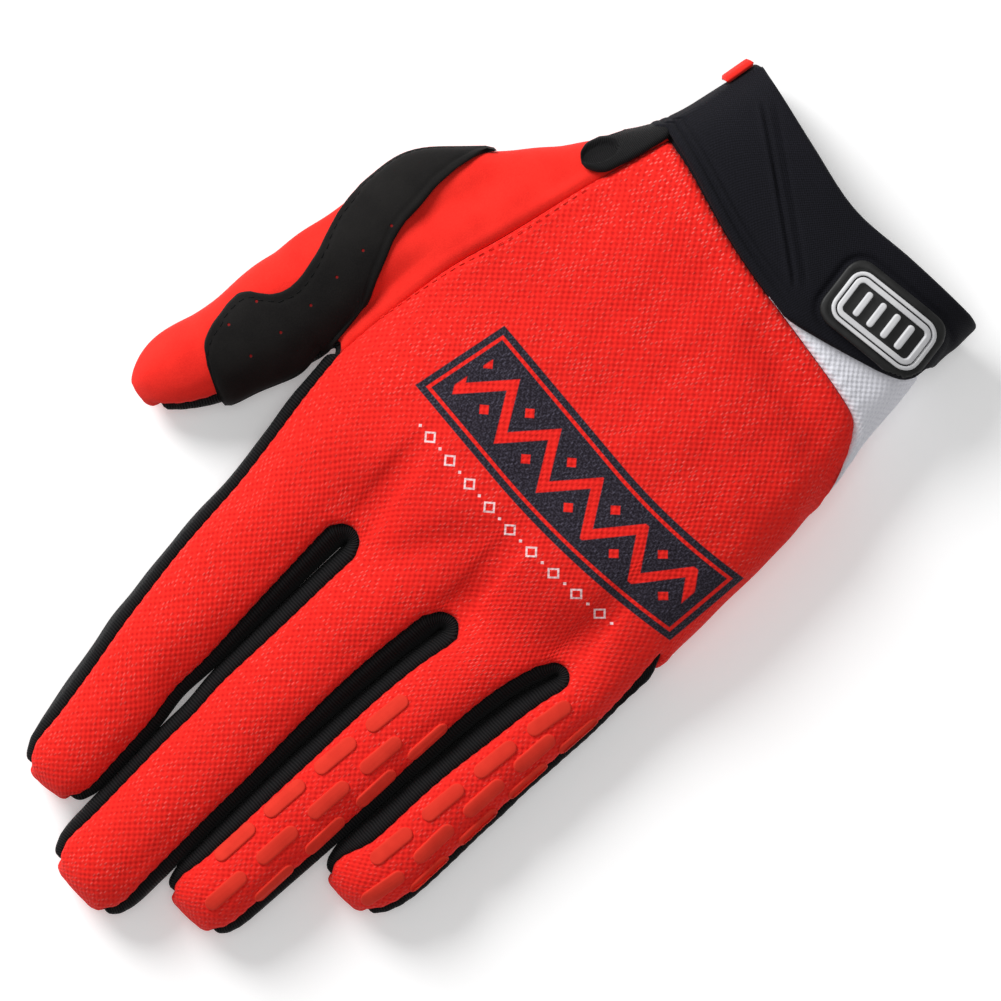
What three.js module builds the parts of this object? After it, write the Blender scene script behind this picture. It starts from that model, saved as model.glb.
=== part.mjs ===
import * as THREE from 'three';

// Left motocross glove lying palm down. Millimetres, +X thumb side, +Y fingertips, +Z up.

// Driving sizes
const HAND_WIDTH = 94;
const HAND_LENGTH = 80;
const CUFF_LENGTH = 30;
const INDEX_LENGTH = 84.5;
const MIDDLE_LENGTH = 95.6;
const RING_LENGTH = 89;
const LITTLE_LENGTH = 67.5;
const THUMB_LENGTH = 38;
const HAND_HEIGHT = 26;
const FINGER_HEIGHT = 17;
const THUMB_HEIGHT = 18;
const EDGE_SHARE = 0.42;

// Walls and clearances
const PANEL_WALL = 1.3;
const STRIP_WALL = 1.1;
const CUFF_WALL = 1.8;
const STRAP_WALL = 2;
const OVERLAY_WALL = 0.9;
const SEAM_GAP = 0.36;
const LAYER_GAP = 0.35;
const FINGER_GAP = 0.8;
const CROTCH_RADIUS = 3.3;
const THUMB_CROTCH_RADIUS = 1.1;
const THUMB_BASE_DROP = 4;
const UNDERSIDE_FLAT = 0.5;

// Rubber trim
const BAR_LENGTH = 10.8;
const BAR_WIDTH = 2.7;
const BAR_THICKNESS = 0.9;
const BADGE_LENGTH = 25;
const BADGE_WIDTH = 15.5;
const BADGE_THICKNESS = 1.5;
const BADGE_CORNER = 4;
const FRAME_INSET = 2;
const FRAME_WIDTH = 1.5;
const FRAME_THICKNESS = 0.7;
const RIB_LENGTH = 6;
const RIB_SPACING = 3.6;
const RIB_COUNT = 4;
const RIB_WIDTH = 1.4;

// Wrist trim
const BINDING_LENGTH = 16.8;
const BINDING_THICKNESS = 1.7;
const TAB_LENGTH = 7;
const TAB_THICKNESS = 1.6;

// Number of faces across each stretch of the skin
const DIGIT_TOP_FACES = 4;
const DIGIT_BOTTOM_FACES = 3;
const GAP_FACES = 3;
const SIDE_FACES = 4;
const CUFF_BANDS = 2;
const GUSSET_BANDS = 2;
const LOWER_HAND_BANDS = 8;
const UPPER_HAND_BANDS = 3;
const FINGER_BANDS = 6;
const TIP_BANDS = 4;

// Colours from the photographed glove
const LOOKS = {
  redKnit: { color: 0xd8241c, roughness: 0.85, metalness: 0 },
  redSuede: { color: 0xe03328, roughness: 0.9, metalness: 0 },
  blackRib: { color: 0x17171a, roughness: 0.8, metalness: 0 },
  blackSuede: { color: 0x201f1f, roughness: 0.95, metalness: 0 },
  blackKnit: { color: 0x16161c, roughness: 0.85, metalness: 0 },
  whiteKnit: { color: 0xe4e6f2, roughness: 0.85, metalness: 0 },
  redRubber: { color: 0xe4352a, roughness: 0.5, metalness: 0 },
  blackRubber: { color: 0x101012, roughness: 0.45, metalness: 0 },
  whiteRubber: { color: 0xf0f0f2, roughness: 0.4, metalness: 0 },
};

// Plan outlines below the knuckles: along is a share of HAND_LENGTH, across of HAND_WIDTH
const LITTLE_EDGE = [
  { along: -1.38, across: -0.479 },
  { along: -1.212, across: -0.489 },
  { along: -1.163, across: -0.504 },
  { along: -1.1, across: -0.522 },
  { along: -1.0, across: -0.524 },
  { along: -0.938, across: -0.532 },
  { along: -0.812, across: -0.559 },
  { along: -0.688, across: -0.585 },
  { along: -0.5, across: -0.604 },
  { along: -0.25, across: -0.619 },
  { along: 0, across: -0.634 },
  { along: 0.2, across: -0.642 },
];
const BACK_SEAM = [
  { along: -1.38, across: 0.245 },
  { along: -1.188, across: 0.259 },
  { along: -1.075, across: 0.279 },
  { along: -0.838, across: 0.314 },
  { along: -0.688, across: 0.33 },
  { along: -0.525, across: 0.351 },
  { along: -0.412, across: 0.372 },
  { along: -0.225, across: 0.388 },
  { along: -0.125, across: 0.392 },
  { along: -0.037, across: 0.39 },
  { along: 0.037, across: 0.379 },
  { along: 0.125, across: 0.363 },
  { along: 0.27, across: 0.333 },
];
const THUMB_OUTLINE = [
  { along: -1.38, across: 0.256 },
  { along: -1.188, across: 0.273 },
  { along: -1.087, across: 0.296 },
  { along: -1.0, across: 0.329 },
  { along: -0.938, across: 0.366 },
  { along: -0.838, across: 0.42 },
  { along: -0.675, across: 0.516 },
  { along: -0.588, across: 0.583 },
  { along: -0.537, across: 0.612 },
  { along: -0.475, across: 0.629 },
  { along: -0.35, across: 0.633 },
  { along: -0.25, across: 0.641 },
  { along: -0.125, across: 0.651 },
  { along: 0, across: 0.661 },
];

// Height of the hand along its length, as a share of HAND_HEIGHT
const HAND_PROFILE = [
  { along: -1.38, height: 0.86 },
  { along: -1.15, height: 0.88 },
  { along: -1.0, height: 0.92 },
  { along: -0.75, height: 1 },
  { along: -0.4, height: 1 },
  { along: -0.1, height: 0.95 },
  { along: 0.1, height: 0.88 },
  { along: 0.3, height: 0.8 },
];

// Lines that neighbouring digits share: along is a share of the shorter digit's length
// from the crotch, across a share of HAND_WIDTH
const INDEX_MIDDLE_LINE = [
  { along: 0, across: 0.046 },
  { along: 0.13, across: 0.04 },
  { along: 0.38, across: 0.025 },
  { along: 0.55, across: 0.013 },
  { along: 0.7, across: -0.006 },
  { along: 1, across: -0.036 },
  { along: 1.25, across: -0.06 },
];
const MIDDLE_RING_LINE = [
  { along: 0, across: -0.243 },
  { along: 0.17, across: -0.235 },
  { along: 0.53, across: -0.242 },
  { along: 0.77, across: -0.255 },
  { along: 1, across: -0.272 },
  { along: 1.25, across: -0.286 },
];
const RING_LITTLE_LINE = [
  { along: 0, across: -0.498 },
  { along: 0.1, across: -0.473 },
  { along: 0.25, across: -0.458 },
  { along: 0.55, across: -0.456 },
  { along: 1, across: -0.462 },
  { along: 1.6, across: -0.471 },
];
const INDEX_OUTER_LINE = [
  { along: 0, across: 0.395 },
  { along: 0.04, across: 0.393 },
  { along: 0.12, across: 0.377 },
  { along: 0.22, across: 0.354 },
  { along: 0.31, across: 0.332 },
  { along: 0.41, across: 0.316 },
  { along: 0.5, across: 0.301 },
  { along: 0.66, across: 0.263 },
  { along: 0.77, across: 0.232 },
  { along: 0.92, across: 0.186 },
  { along: 1.05, across: 0.136 },
];
const LITTLE_OUTER_LINE = [
  { along: -0.1, across: -0.632 },
  { along: 0.1, across: -0.64 },
  { along: 0.4, across: -0.649 },
  { along: 0.62, across: -0.657 },
  { along: 0.77, across: -0.665 },
  { along: 0.88, across: -0.664 },
  { along: 1.05, across: -0.66 },
];
const THUMB_INNER_LINE = [
  { along: 0, across: 0.406 },
  { along: 0.2, across: 0.411 },
  { along: 0.34, across: 0.424 },
  { along: 0.47, across: 0.44 },
  { along: 0.6, across: 0.454 },
  { along: 0.73, across: 0.471 },
  { along: 1, across: 0.51 },
];
const THUMB_OUTER_LINE = [
  { along: -0.2, across: 0.645 },
  { along: 0, across: 0.658 },
  { along: 0.15, across: 0.66 },
  { along: 0.35, across: 0.655 },
  { along: 0.5, across: 0.66 },
  { along: 0.68, across: 0.683 },
  { along: 1, across: 0.7 },
];

// Across each digit: left and right are the panel's edges as shares of the half width
const INDEX_SECTIONS = [
  { along: 0, left: 0.7, right: 0.88, height: 1 },
  { along: 0.25, left: 0.78, right: 0.85, height: 0.98 },
  { along: 0.5, left: 0.88, right: 0.8, height: 0.95 },
  { along: 0.75, left: 0.9, right: 0.75, height: 0.93 },
  { along: 1, left: 0.93, right: 0.79, height: 0.9 },
];
const MIDDLE_SECTIONS = [
  { along: 0, left: 0.72, right: 0.8, height: 1 },
  { along: 0.25, left: 0.72, right: 0.78, height: 1 },
  { along: 0.5, left: 0.84, right: 0.83, height: 0.97 },
  { along: 0.75, left: 0.85, right: 0.85, height: 0.95 },
  { along: 1, left: 0.85, right: 0.84, height: 0.92 },
];
const RING_SECTIONS = [
  { along: 0, left: 0.72, right: 0.72, height: 1 },
  { along: 0.25, left: 0.8, right: 0.76, height: 0.98 },
  { along: 0.5, left: 0.91, right: 0.7, height: 0.95 },
  { along: 0.75, left: 0.93, right: 0.72, height: 0.93 },
  { along: 1, left: 0.86, right: 0.78, height: 0.9 },
];
const LITTLE_SECTIONS = [
  { along: 0, left: 0.93, right: 0.55, height: 0.95 },
  { along: 0.25, left: 0.94, right: 0.5, height: 0.93 },
  { along: 0.5, left: 0.96, right: 0.6, height: 0.92 },
  { along: 0.75, left: 0.96, right: 0.56, height: 0.9 },
  { along: 1, left: 0.92, right: 0.56, height: 0.87 },
];
const THUMB_SECTIONS = [
  { along: 0, left: 0.85, right: 0.85, height: 1 },
  { along: 0.5, left: 0.87, right: 0.85, height: 0.98 },
  { along: 1, left: 0.85, right: 0.85, height: 0.9 },
];

// Level of each crotch as a share of HAND_LENGTH above the knuckle line
const CROTCH_LEVEL = { thumb: -0.035, indexMiddle: 0.241, middleRing: 0.196, ringLittle: 0.04 };

// Tip rounding: round is its length in mm, power its squareness, slant the rise towards the thumb
const TIPS = {
  thumb: { round: 17, power: 2.1, slant: -0.02 },
  index: { round: 10, power: 2.6, slant: 0.035 },
  middle: { round: 11, power: 2.8, slant: 0.005 },
  ring: { round: 10, power: 2.8, slant: 0.02 },
  little: { round: 11, power: 2.5, slant: 0.02 },
};

// Lower edge of the back panel: across is a share of HAND_WIDTH, along of HAND_LENGTH
const BACK_HEM = [
  { across: -0.545, along: -0.81 },
  { across: -0.525, along: -0.875 },
  { across: -0.5, along: -0.935 },
  { across: -0.475, along: -0.962 },
  { across: -0.4, along: -0.976 },
  { across: -0.2, along: -0.993 },
  { across: -0.1, along: -1.0 },
  { across: 0, along: -1.013 },
  { across: 0.1, along: -1.035 },
  { across: 0.2, along: -1.06 },
  { across: 0.3, along: -1.076 },
];
const SIDE_HEM = -0.69;
const PALM_HEM = -1.0;
const THUMB_HEM = -1.05;
const GUSSET_FOOT = -1.12;
const GUSSET_END_DIGIT = 'middle';

// Lower edge of the cuff, hollowed in the middle of the back
const CUFF_END = [
  { across: -0.5, rise: 0 },
  { across: -0.3, rise: 0.08 },
  { across: -0.12, rise: 0.16 },
  { across: 0.06, rise: 0.1 },
  { across: 0.28, rise: 0 },
];

// Soft folds: place and direction in shares, reach and width in mm, depth in mm
const FOLDS = [
  { across: -0.36, along: -0.87, angle: -12, reach: 20, width: 4.5, depth: 1.6 },
  { across: -0.1, along: 0.08, angle: 62, reach: 17, width: 5, depth: 1.5 },
  { across: 0.47, along: -0.55, angle: 80, reach: 14, width: 4, depth: 1.6 },
  { across: 0.36, along: -0.8, angle: 70, reach: 10, width: 4, depth: 0.8 },
];

// Free edge of the strap over the gusset and along the back panel's hem
const STRAP_EDGE = [
  { across: -0.56, along: -1.2 },
  { across: -0.515, along: -1.175 },
  { across: -0.5, along: -1.145 },
  { across: -0.468, along: -1.113 },
  { across: -0.37, along: -1.062 },
  { across: -0.28, along: -1.02 },
  { across: -0.2, along: -0.996 },
  { across: -0.1, along: -0.99 },
  { across: 0.4, along: -0.99 },
];

// Edges of the thumb overlay: at is a share of the thumb's rows from the wrist to the tip
const OVERLAY_EDGES = [
  { along: -0.7, from: 0.48, to: 0.515 },
  { along: -0.63, from: 0.512, to: 0.56 },
  { along: -0.54, from: 0.521, to: 0.617 },
  { along: -0.45, from: 0.509, to: 0.632 },
  { along: -0.35, from: 0.492, to: 0.628 },
  { along: -0.25, from: 0.461, to: 0.612 },
  { along: -0.17, from: 0.436, to: 0.58 },
  { along: -0.06, from: 0.402, to: 0.56 },
  { along: 0, from: 0.395, to: 0.575 },
  { along: 0.06, from: 0.395, to: 0.62 },
  { along: 0.12, from: 0.395, to: 0.615 },
  { along: 0.19, from: 0.395, to: 0.598 },
  { along: 0.24, from: 0.395, to: 0.55 },
];
const BADGE_PLACE = { across: -0.345, along: -1.182, angle: 12 };

// Bars: first is a share of the finger's length, across of its half width, lean its change per bar
const RING_BARS = [
  { first: 0.383, across: -0.31, lean: 0.04 },
  { first: 0.298, across: -0.7, lean: -0.015 },
  { first: 0.275, across: 0.34, lean: 0.045 },
];
const LITTLE_BARS = [
  { first: 0.233, across: -0.4, lean: 0 },
  { first: 0.1, across: -0.78, lean: -0.01 },
  { first: 0.115, across: 0.04, lean: 0.05 },
];

const HAND_POWER = 2.6;
const DIGIT_POWER = 2.3;
const UNDER_POWER = 3.5;
const ROUND_POWER = 2;
const TOP_INSET = 2.2;
const UNDER_INSET = 5;
const DIGIT_UNDER_EDGE = 0.78;
const KNUCKLE_FADE = 26;
const CROTCH_FADE = 40;
const TIP_END_SHARE = 0.985;
const TIP_END_HEIGHT = 0.5;
const DEGREES = Math.PI / 180;
const SIDE_TURN = 65 * DEGREES;
const SEAM_FLANK = 1.2;
const UNDER_SEAM_SHIFT = 2;
const WRIST_INSET = 1;
const GUSSET_LEAST = 3;
const STRIP_TIP_BANDS = 2;
const STRAP_WRAP = 3;
const STRAP_HEM_GAP = 0.6;
const STRAP_END_SHARE = 0.04;
const PALM_CUFF_RISE = 5;
const MITRE_LIMIT = 2.5;
const COLUMN_LEAST = 0.2;
const FRAME_POINTS = 20;
const FRAME_POWER = 0.55;
const RIB_STEPS = 3;
const TAB_COLUMNS = 3;
const TAB_RISE = 1;
const OVERLAY_FIRST_LINE = 3;
const OVERLAY_LAST_LINE = 6;
const OVERLAY_WRAP_LINES = 3;
const OVERLAY_WRAP = 1.4;
const OVERLAY_SIDE = 1.6;
const OVERLAY_LIFT = 0.7;
const OVERLAY_LEAST = 1;
const BINDING_COLUMNS = 5;
const BINDING_EDGE = 0.3;
const BINDING_FOOT_GAP = 1;
const BINDING_ROUND = 3;
const BAR_PITCH = 14.2;
const BARS_IN_ROW = 4;
const BAR_SEGMENTS = 2;
const BAR_AHEAD = 0.02;

const wristLevel = -HAND_LENGTH;
const cuffEndLevel = wristLevel - CUFF_LENGTH;

// Smooth curve through a table's rows
function sample(table, key, place, at) {
  const last = table.length - 1;
  let row = 0;
  while (row < last - 1 && table[row + 1][place] < at) row += 1;
  const slope = (k) => {
    const a = table[Math.max(k - 1, 0)];
    const b = table[Math.min(k + 1, last)];
    return (b[key] - a[key]) / (b[place] - a[place]);
  };
  const from = table[row];
  const to = table[row + 1];
  const span = to[place] - from[place];
  const t = (at - from[place]) / span;
  if (t < 0) return from[key] + slope(row) * (at - from[place]);
  if (t > 1) return to[key] + slope(row + 1) * (at - to[place]);
  const t2 = t * t;
  const t3 = t2 * t;
  return (2 * t3 - 3 * t2 + 1) * from[key] + (t3 - 2 * t2 + t) * span * slope(row)
    + (3 * t2 - 2 * t3) * to[key] + (t3 - t2) * span * slope(row + 1);
}

function outline(table, y) {
  return HAND_WIDTH * sample(table, 'across', 'along', y / HAND_LENGTH);
}

function smoothStep(t) {
  const c = Math.min(Math.max(t, 0), 1);
  return c * c * (3 - 2 * c);
}

function lerp(a, b, t) {
  return a + (b - a) * t;
}

// Arch of a section: 1 in the middle, 0 at the edges
function arch(across, power) {
  const f = Math.min(Math.abs(across), 1);
  return (1 - f ** power) ** (1 / power);
}

function foldDepth(x, y) {
  let depth = 0;
  for (const fold of FOLDS) {
    const dx = x - fold.across * HAND_WIDTH;
    const dy = y - fold.along * HAND_LENGTH;
    const turn = fold.angle * DEGREES;
    const along = (dx * Math.cos(turn) + dy * Math.sin(turn)) / fold.reach;
    const off = (dy * Math.cos(turn) - dx * Math.sin(turn)) / fold.width;
    depth += fold.depth * Math.exp(-off * off - along * along * along * along);
  }
  return depth;
}

// Levels of the crotches and of the finger tips
const crotch = {};
for (const [name, share] of Object.entries(CROTCH_LEVEL)) crotch[name] = share * HAND_LENGTH;
const tipLevel = {
  thumb: crotch.thumb + THUMB_LENGTH,
  index: crotch.indexMiddle + INDEX_LENGTH,
  middle: crotch.indexMiddle + MIDDLE_LENGTH + (crotch.middleRing - crotch.indexMiddle) / 2,
  ring: crotch.middleRing + RING_LENGTH - (crotch.middleRing - crotch.ringLittle) / 2,
  little: crotch.ringLittle + LITTLE_LENGTH,
};

function sharedLine(table, level, tip) {
  return (y) => HAND_WIDTH * sample(table, 'across', 'along', (y - level) / (tip - level));
}

const line = {
  indexMiddle: sharedLine(INDEX_MIDDLE_LINE, crotch.indexMiddle, tipLevel.index),
  middleRing: sharedLine(MIDDLE_RING_LINE, crotch.middleRing, tipLevel.ring),
  ringLittle: sharedLine(RING_LITTLE_LINE, crotch.ringLittle, tipLevel.little),
  indexOuter: sharedLine(INDEX_OUTER_LINE, crotch.thumb, tipLevel.index),
  littleOuter: sharedLine(LITTLE_OUTER_LINE, 0, tipLevel.little),
  thumbInner: sharedLine(THUMB_INNER_LINE, crotch.thumb, tipLevel.thumb),
  thumbOuter: sharedLine(THUMB_OUTER_LINE, crotch.thumb, tipLevel.thumb),
};

// A digit between its left and right lines, from its base levels up to its tip
const halfGap = FINGER_GAP / 2;
const DIGITS = {
  little: {
    left: (y) => line.littleOuter(y),
    right: (y) => line.ringLittle(y) - halfGap,
    base: [crotch.ringLittle, crotch.ringLittle + CROTCH_RADIUS],
    table: LITTLE_SECTIONS, tall: FINGER_HEIGHT,
  },
  ring: {
    left: (y) => line.ringLittle(y) + halfGap,
    right: (y) => line.middleRing(y) - halfGap,
    base: [crotch.ringLittle + CROTCH_RADIUS, crotch.middleRing + CROTCH_RADIUS],
    table: RING_SECTIONS, tall: FINGER_HEIGHT,
  },
  middle: {
    left: (y) => line.middleRing(y) + halfGap,
    right: (y) => line.indexMiddle(y) - halfGap,
    base: [crotch.middleRing + CROTCH_RADIUS, crotch.indexMiddle + CROTCH_RADIUS],
    table: MIDDLE_SECTIONS, tall: FINGER_HEIGHT,
  },
  index: {
    left: (y) => line.indexMiddle(y) + halfGap,
    right: (y) => line.indexOuter(y),
    base: [crotch.indexMiddle + CROTCH_RADIUS, crotch.indexMiddle],
    table: INDEX_SECTIONS, tall: FINGER_HEIGHT,
  },
  thumb: {
    left: (y) => line.thumbInner(y),
    right: (y) => line.thumbOuter(y),
    base: [crotch.thumb + THUMB_CROTCH_RADIUS, crotch.thumb - THUMB_BASE_DROP],
    table: THUMB_SECTIONS, tall: THUMB_HEIGHT,
  },
};
const FINGER_ORDER = ['little', 'ring', 'middle', 'index'];

for (const [name, digit] of Object.entries(DIGITS)) {
  digit.long = tipLevel[name] - (digit.base[0] + digit.base[1]) / 2;
}

// Section of a digit at share s of its length
function digitSection(name, s) {
  const digit = DIGITS[name];
  const tip = TIPS[name];
  const top = tipLevel[name];
  const rise = tip.slant * HAND_WIDTH / 2;
  const { long } = digit;
  const yLeft = lerp(digit.base[0], top - rise, s);
  const yRight = lerp(digit.base[1], top + rise, s);
  const into = Math.max(0, (s - (1 - tip.round / long)) / (tip.round / long));
  const shrink = arch(into * TIP_END_SHARE, tip.power);
  const lower = Math.max(arch(into, ROUND_POWER), TIP_END_HEIGHT / digit.tall);
  return {
    left: new THREE.Vector2(digit.left(yLeft), yLeft),
    right: new THREE.Vector2(digit.right(yRight), yRight),
    shrink,
    lower,
    leftEdge: sample(digit.table, 'left', 'along', s),
    rightEdge: sample(digit.table, 'right', 'along', s),
    tall: digit.tall * sample(digit.table, 'height', 'along', s),
  };
}

function digitStations(name) {
  const digit = DIGITS[name];
  const tip = TIPS[name];
  const start = 1 - tip.round / digit.long;
  const stations = [];
  for (let k = 0; k < FINGER_BANDS; k += 1) stations.push(start * k / FINGER_BANDS);
  for (let k = 0; k <= TIP_BANDS; k += 1) {
    stations.push(lerp(start, 1, Math.sin(k / TIP_BANDS * Math.PI / 2)));
  }
  return stations;
}

// Point of a digit's section: across runs from -1 to 1, under picks the lower half
function digitPoint(section, across, under) {
  const edge = section.tall * EDGE_SHARE;
  const middle = section.left.clone().add(section.right).multiplyScalar(0.5);
  const side = section.right.clone().sub(section.left).multiplyScalar(0.5);
  const plan = middle.addScaledVector(side, across * section.shrink);
  let z = edge + (section.tall - edge) * arch(across, DIGIT_POWER) * section.lower;
  if (under) {
    z = edge - (edge + UNDERSIDE_FLAT) * arch(across, UNDER_POWER) * section.lower;
    z = Math.max(z, 0);
  }
  return new THREE.Vector3(plan.x, plan.y, z);
}

// Silhouette point of a digit's section, on the left (-1) or the right (1)
function digitFlank(section, sign) {
  return digitPoint(section, sign, false);
}

// Points down a side wall: from the top edge over the flank to the underside's edge
function sideWall(top, flank, under) {
  const points = [];
  for (let k = 0; k <= SIDE_FACES; k += 1) {
    const t = 1 - 2 * k / SIDE_FACES;
    const end = t > 0 ? top : under;
    const turn = Math.abs(t) * SIDE_TURN;
    const into = (1 - Math.cos(turn)) / (1 - Math.cos(SIDE_TURN));
    const rise = Math.sin(turn) / Math.sin(SIDE_TURN);
    points.push(new THREE.Vector3(
      lerp(flank.x, end.x, into),
      lerp(flank.y, end.y, rise),
      lerp(flank.z, end.z, rise),
    ));
  }
  return points;
}

// Height of the hand's section at a place, between two plan edges
function handHeight(x, y, left, right, under) {
  const tall = handTall(y);
  const edge = tall * EDGE_SHARE;
  const across = (x - (left + right) / 2) / ((right - left) / 2);
  if (under) return Math.max(0, edge - (edge + UNDERSIDE_FLAT) * arch(across, UNDER_POWER));
  return edge + (tall - edge) * arch(across, HAND_POWER);
}

function handTall(y) {
  return HAND_HEIGHT * sample(HAND_PROFILE, 'height', 'along', y / HAND_LENGTH);
}

// The skin: one surface whose faces carry the name of the piece that they belong to
const skin = { points: [], normals: [], faces: [] };

function addPoint(point) {
  skin.points.push(new THREE.Vector3(point.x, point.y, point.z));
  return skin.points.length - 1;
}

// Faces between two rows of point numbers; pieceAt names the piece of each column
function addBand(lower, upper, pieceAt) {
  for (let k = 0; k + 1 < lower.length; k += 1) {
    const piece = pieceAt(k);
    skin.faces.push({ piece, corners: [lower[k], lower[k + 1], upper[k + 1], upper[k]] });
  }
}

// Points round a crotch in plan, from one digit's edge to the next one's
function crotchArc(from, to, drop) {
  const points = [];
  for (let k = 0; k <= GAP_FACES; k += 1) {
    const turn = k / GAP_FACES * Math.PI;
    points.push(new THREE.Vector3(
      lerp(from.x, to.x, (1 - Math.cos(turn)) / 2),
      lerp(from.y, to.y, k / GAP_FACES) - drop * Math.sin(turn),
      lerp(from.z, to.z, k / GAP_FACES),
    ));
  }
  return points;
}

function digitRow(name, s, under) {
  const section = digitSection(name, s);
  const count = under ? DIGIT_BOTTOM_FACES : DIGIT_TOP_FACES;
  const from = under ? -DIGIT_UNDER_EDGE : -section.leftEdge;
  const to = under ? DIGIT_UNDER_EDGE : section.rightEdge;
  const points = [];
  for (let k = 0; k <= count; k += 1) points.push(digitPoint(section, lerp(from, to, k / count), under));
  return points;
}

// Last row of the hand: the finger bases and the crotches between them
function knuckleRow(under) {
  const row = [];
  for (const name of FINGER_ORDER) {
    const points = digitRow(name, 0, under);
    if (row.length > 0) {
      row.push(...crotchArc(row[row.length - 1], points[0], CROTCH_RADIUS).slice(1, -1));
    }
    row.push(...points);
  }
  return row;
}

const gussetRow = CUFF_BANDS;
const hemRow = CUFF_BANDS + GUSSET_BANDS;
const crotchRow = hemRow + LOWER_HAND_BANDS;
const topRow = crotchRow + UPPER_HAND_BANDS;

// Level of a row of the hand's skin, for a column with its own end, hem, crotch and knuckle levels
function rowLevel(row, column) {
  const foot = Math.min(GUSSET_FOOT * HAND_LENGTH, column.hem - GUSSET_LEAST);
  if (row <= gussetRow) return lerp(column.end, foot, row / CUFF_BANDS);
  if (row <= hemRow) return lerp(foot, column.hem, (row - gussetRow) / GUSSET_BANDS);
  if (row <= crotchRow) return lerp(column.hem, column.crotch, (row - hemRow) / LOWER_HAND_BANDS);
  return lerp(column.crotch, column.knuckle, (row - crotchRow) / UPPER_HAND_BANDS);
}

function lowerShare(hem, knuckle) {
  return lerp(hem, knuckle, LOWER_HAND_BANDS / (LOWER_HAND_BANDS + UPPER_HAND_BANDS));
}

// The hand's top sheet or underside: rows of points over the fingers' columns
function handSheet(under) {
  const knuckles = knuckleRow(under);
  const inset = under ? UNDER_INSET : TOP_INSET;
  const first = knuckles[0];
  const last = knuckles[knuckles.length - 1];
  const leftAt = (y) => outline(LITTLE_EDGE, y) + inset;
  const seamAt = (y) => outline(BACK_SEAM, y) - (under ? UNDER_SEAM_SHIFT : 0);
  const columns = knuckles.map((knuckle) => {
    const share = (knuckle.x - first.x) / (last.x - first.x);
    const wristX = lerp(leftAt(wristLevel), seamAt(wristLevel), share);
    const hem = HAND_LENGTH * (under ? PALM_HEM : sample(BACK_HEM, 'along', 'across', wristX / HAND_WIDTH));
    const crotchAt = lerp(lowerShare(hem, knuckle.y), crotch.thumb, smoothStep(share));
    const end = cuffEndAt(wristX, under);
    return { share, hem, end, crotch: crotchAt, knuckle: knuckle.y, point: knuckle };
  });
  const seamColumn = columns[columns.length - 1];
  const rows = [];
  for (let row = 0; row <= topRow; row += 1) {
    const seamY = rowLevel(row, seamColumn);
    const split = row > crotchRow ? 1 : smoothStep(1 - (crotch.thumb - seamY) / CROTCH_FADE);
    rows.push(columns.map((column) => {
      if (row === topRow) return column.point;
      const y = rowLevel(row, column);
      const fade = smoothStep(1 - (column.knuckle - y) / KNUCKLE_FADE);
      const left = leftAt(y) + (first.x - leftAt(first.y)) * fade;
      const upper = smoothStep((row - crotchRow) / UPPER_HAND_BANDS);
      const right = seamAt(y) + (last.x - seamAt(last.y)) * upper;
      const x = lerp(left, right, column.share);
      const outer = outline(LITTLE_EDGE, y);
      const wide = handHeight(x, y, outer, outline(THUMB_OUTLINE, Math.min(y, crotch.thumb)), under);
      const flank = Math.max(outline(BACK_SEAM, y) + SEAM_FLANK, row < crotchRow ? 0 : line.indexOuter(y));
      const narrow = handHeight(x, y, outer, flank, under);
      const height = lerp(lerp(wide, narrow, split), column.point.z, fade);
      return new THREE.Vector3(x, y, under ? height : height - foldDepth(x, y));
    }));
  }
  return rows;
}

// The thumb's part of the hand below its crotch, from beside the seam to the outer edge
function thumbSheet(under, handRows) {
  const base = digitRow('thumb', 0, under);
  const outer = base[base.length - 1];
  const inset = under ? UNDER_INSET : TOP_INSET;
  const seams = handRows.map((row) => row[row.length - 1]);
  const ends = [...crotchArc(seams[crotchRow], base[0], THUMB_CROTCH_RADIUS).slice(1, -1), ...base];
  const column = {
    hem: THUMB_HEM * HAND_LENGTH, end: cuffEndLevel, crotch: outer.y, knuckle: outer.y,
  };
  const rows = [];
  for (let row = 0; row <= crotchRow; row += 1) {
    const seam = seams[row];
    const outerY = rowLevel(row, column);
    const level = Math.max(0, (row - hemRow) / LOWER_HAND_BANDS);
    const outerX = outline(THUMB_OUTLINE, outerY) - lerp(WRIST_INSET, inset, level);
    rows.push(ends.map((end, order) => {
      if (row === crotchRow) return end;
      const even = (order + 1) / ends.length;
      const crotchShare = (end.x - seams[crotchRow].x) / (outer.x - seams[crotchRow].x);
      const x = lerp(seam.x, outerX, lerp(even, crotchShare, smoothStep(level)));
      const y = lerp(seam.y, outerY, even);
      const near = smoothStep(1 - (crotch.thumb - seam.y) / CROTCH_FADE);
      const wide = handHeight(x, y, outline(LITTLE_EDGE, y), outline(THUMB_OUTLINE, y), under);
      const height = lerp(wide, end.z, near);
      return new THREE.Vector3(x, y, under ? Math.max(0, height) : height - foldDepth(x, y));
    }));
  }
  return rows;
}

function cuffEndAt(x, under) {
  if (under) return cuffEndLevel + PALM_CUFF_RISE;
  return cuffEndLevel + CUFF_LENGTH * sample(CUFF_END, 'rise', 'across', x / HAND_WIDTH);
}

// Point numbers of every sheet
const topHand = handSheet(false);
const underHand = handSheet(true);
const topThumb = thumbSheet(false, topHand);
const underThumb = thumbSheet(true, underHand);
const number = (rows) => rows.map((row) => row.map(addPoint));
const top = number(topHand);
const under = number(underHand);
const topBase = number(topThumb).map((row, order) => [top[order][top[order].length - 1], ...row]);
const underBase = number(underThumb).map((row, order) => [under[order][under[order].length - 1], ...row]);

function lastOf(row) {
  return row[row.length - 1];
}

// Point numbers down a wall whose ends belong to the top sheet and the underside
function wallNumbers(topNumber, flank, underNumber) {
  const points = sideWall(skin.points[topNumber], flank, skin.points[underNumber]);
  return [topNumber, ...points.slice(1, -1).map(addPoint), underNumber];
}

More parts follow.
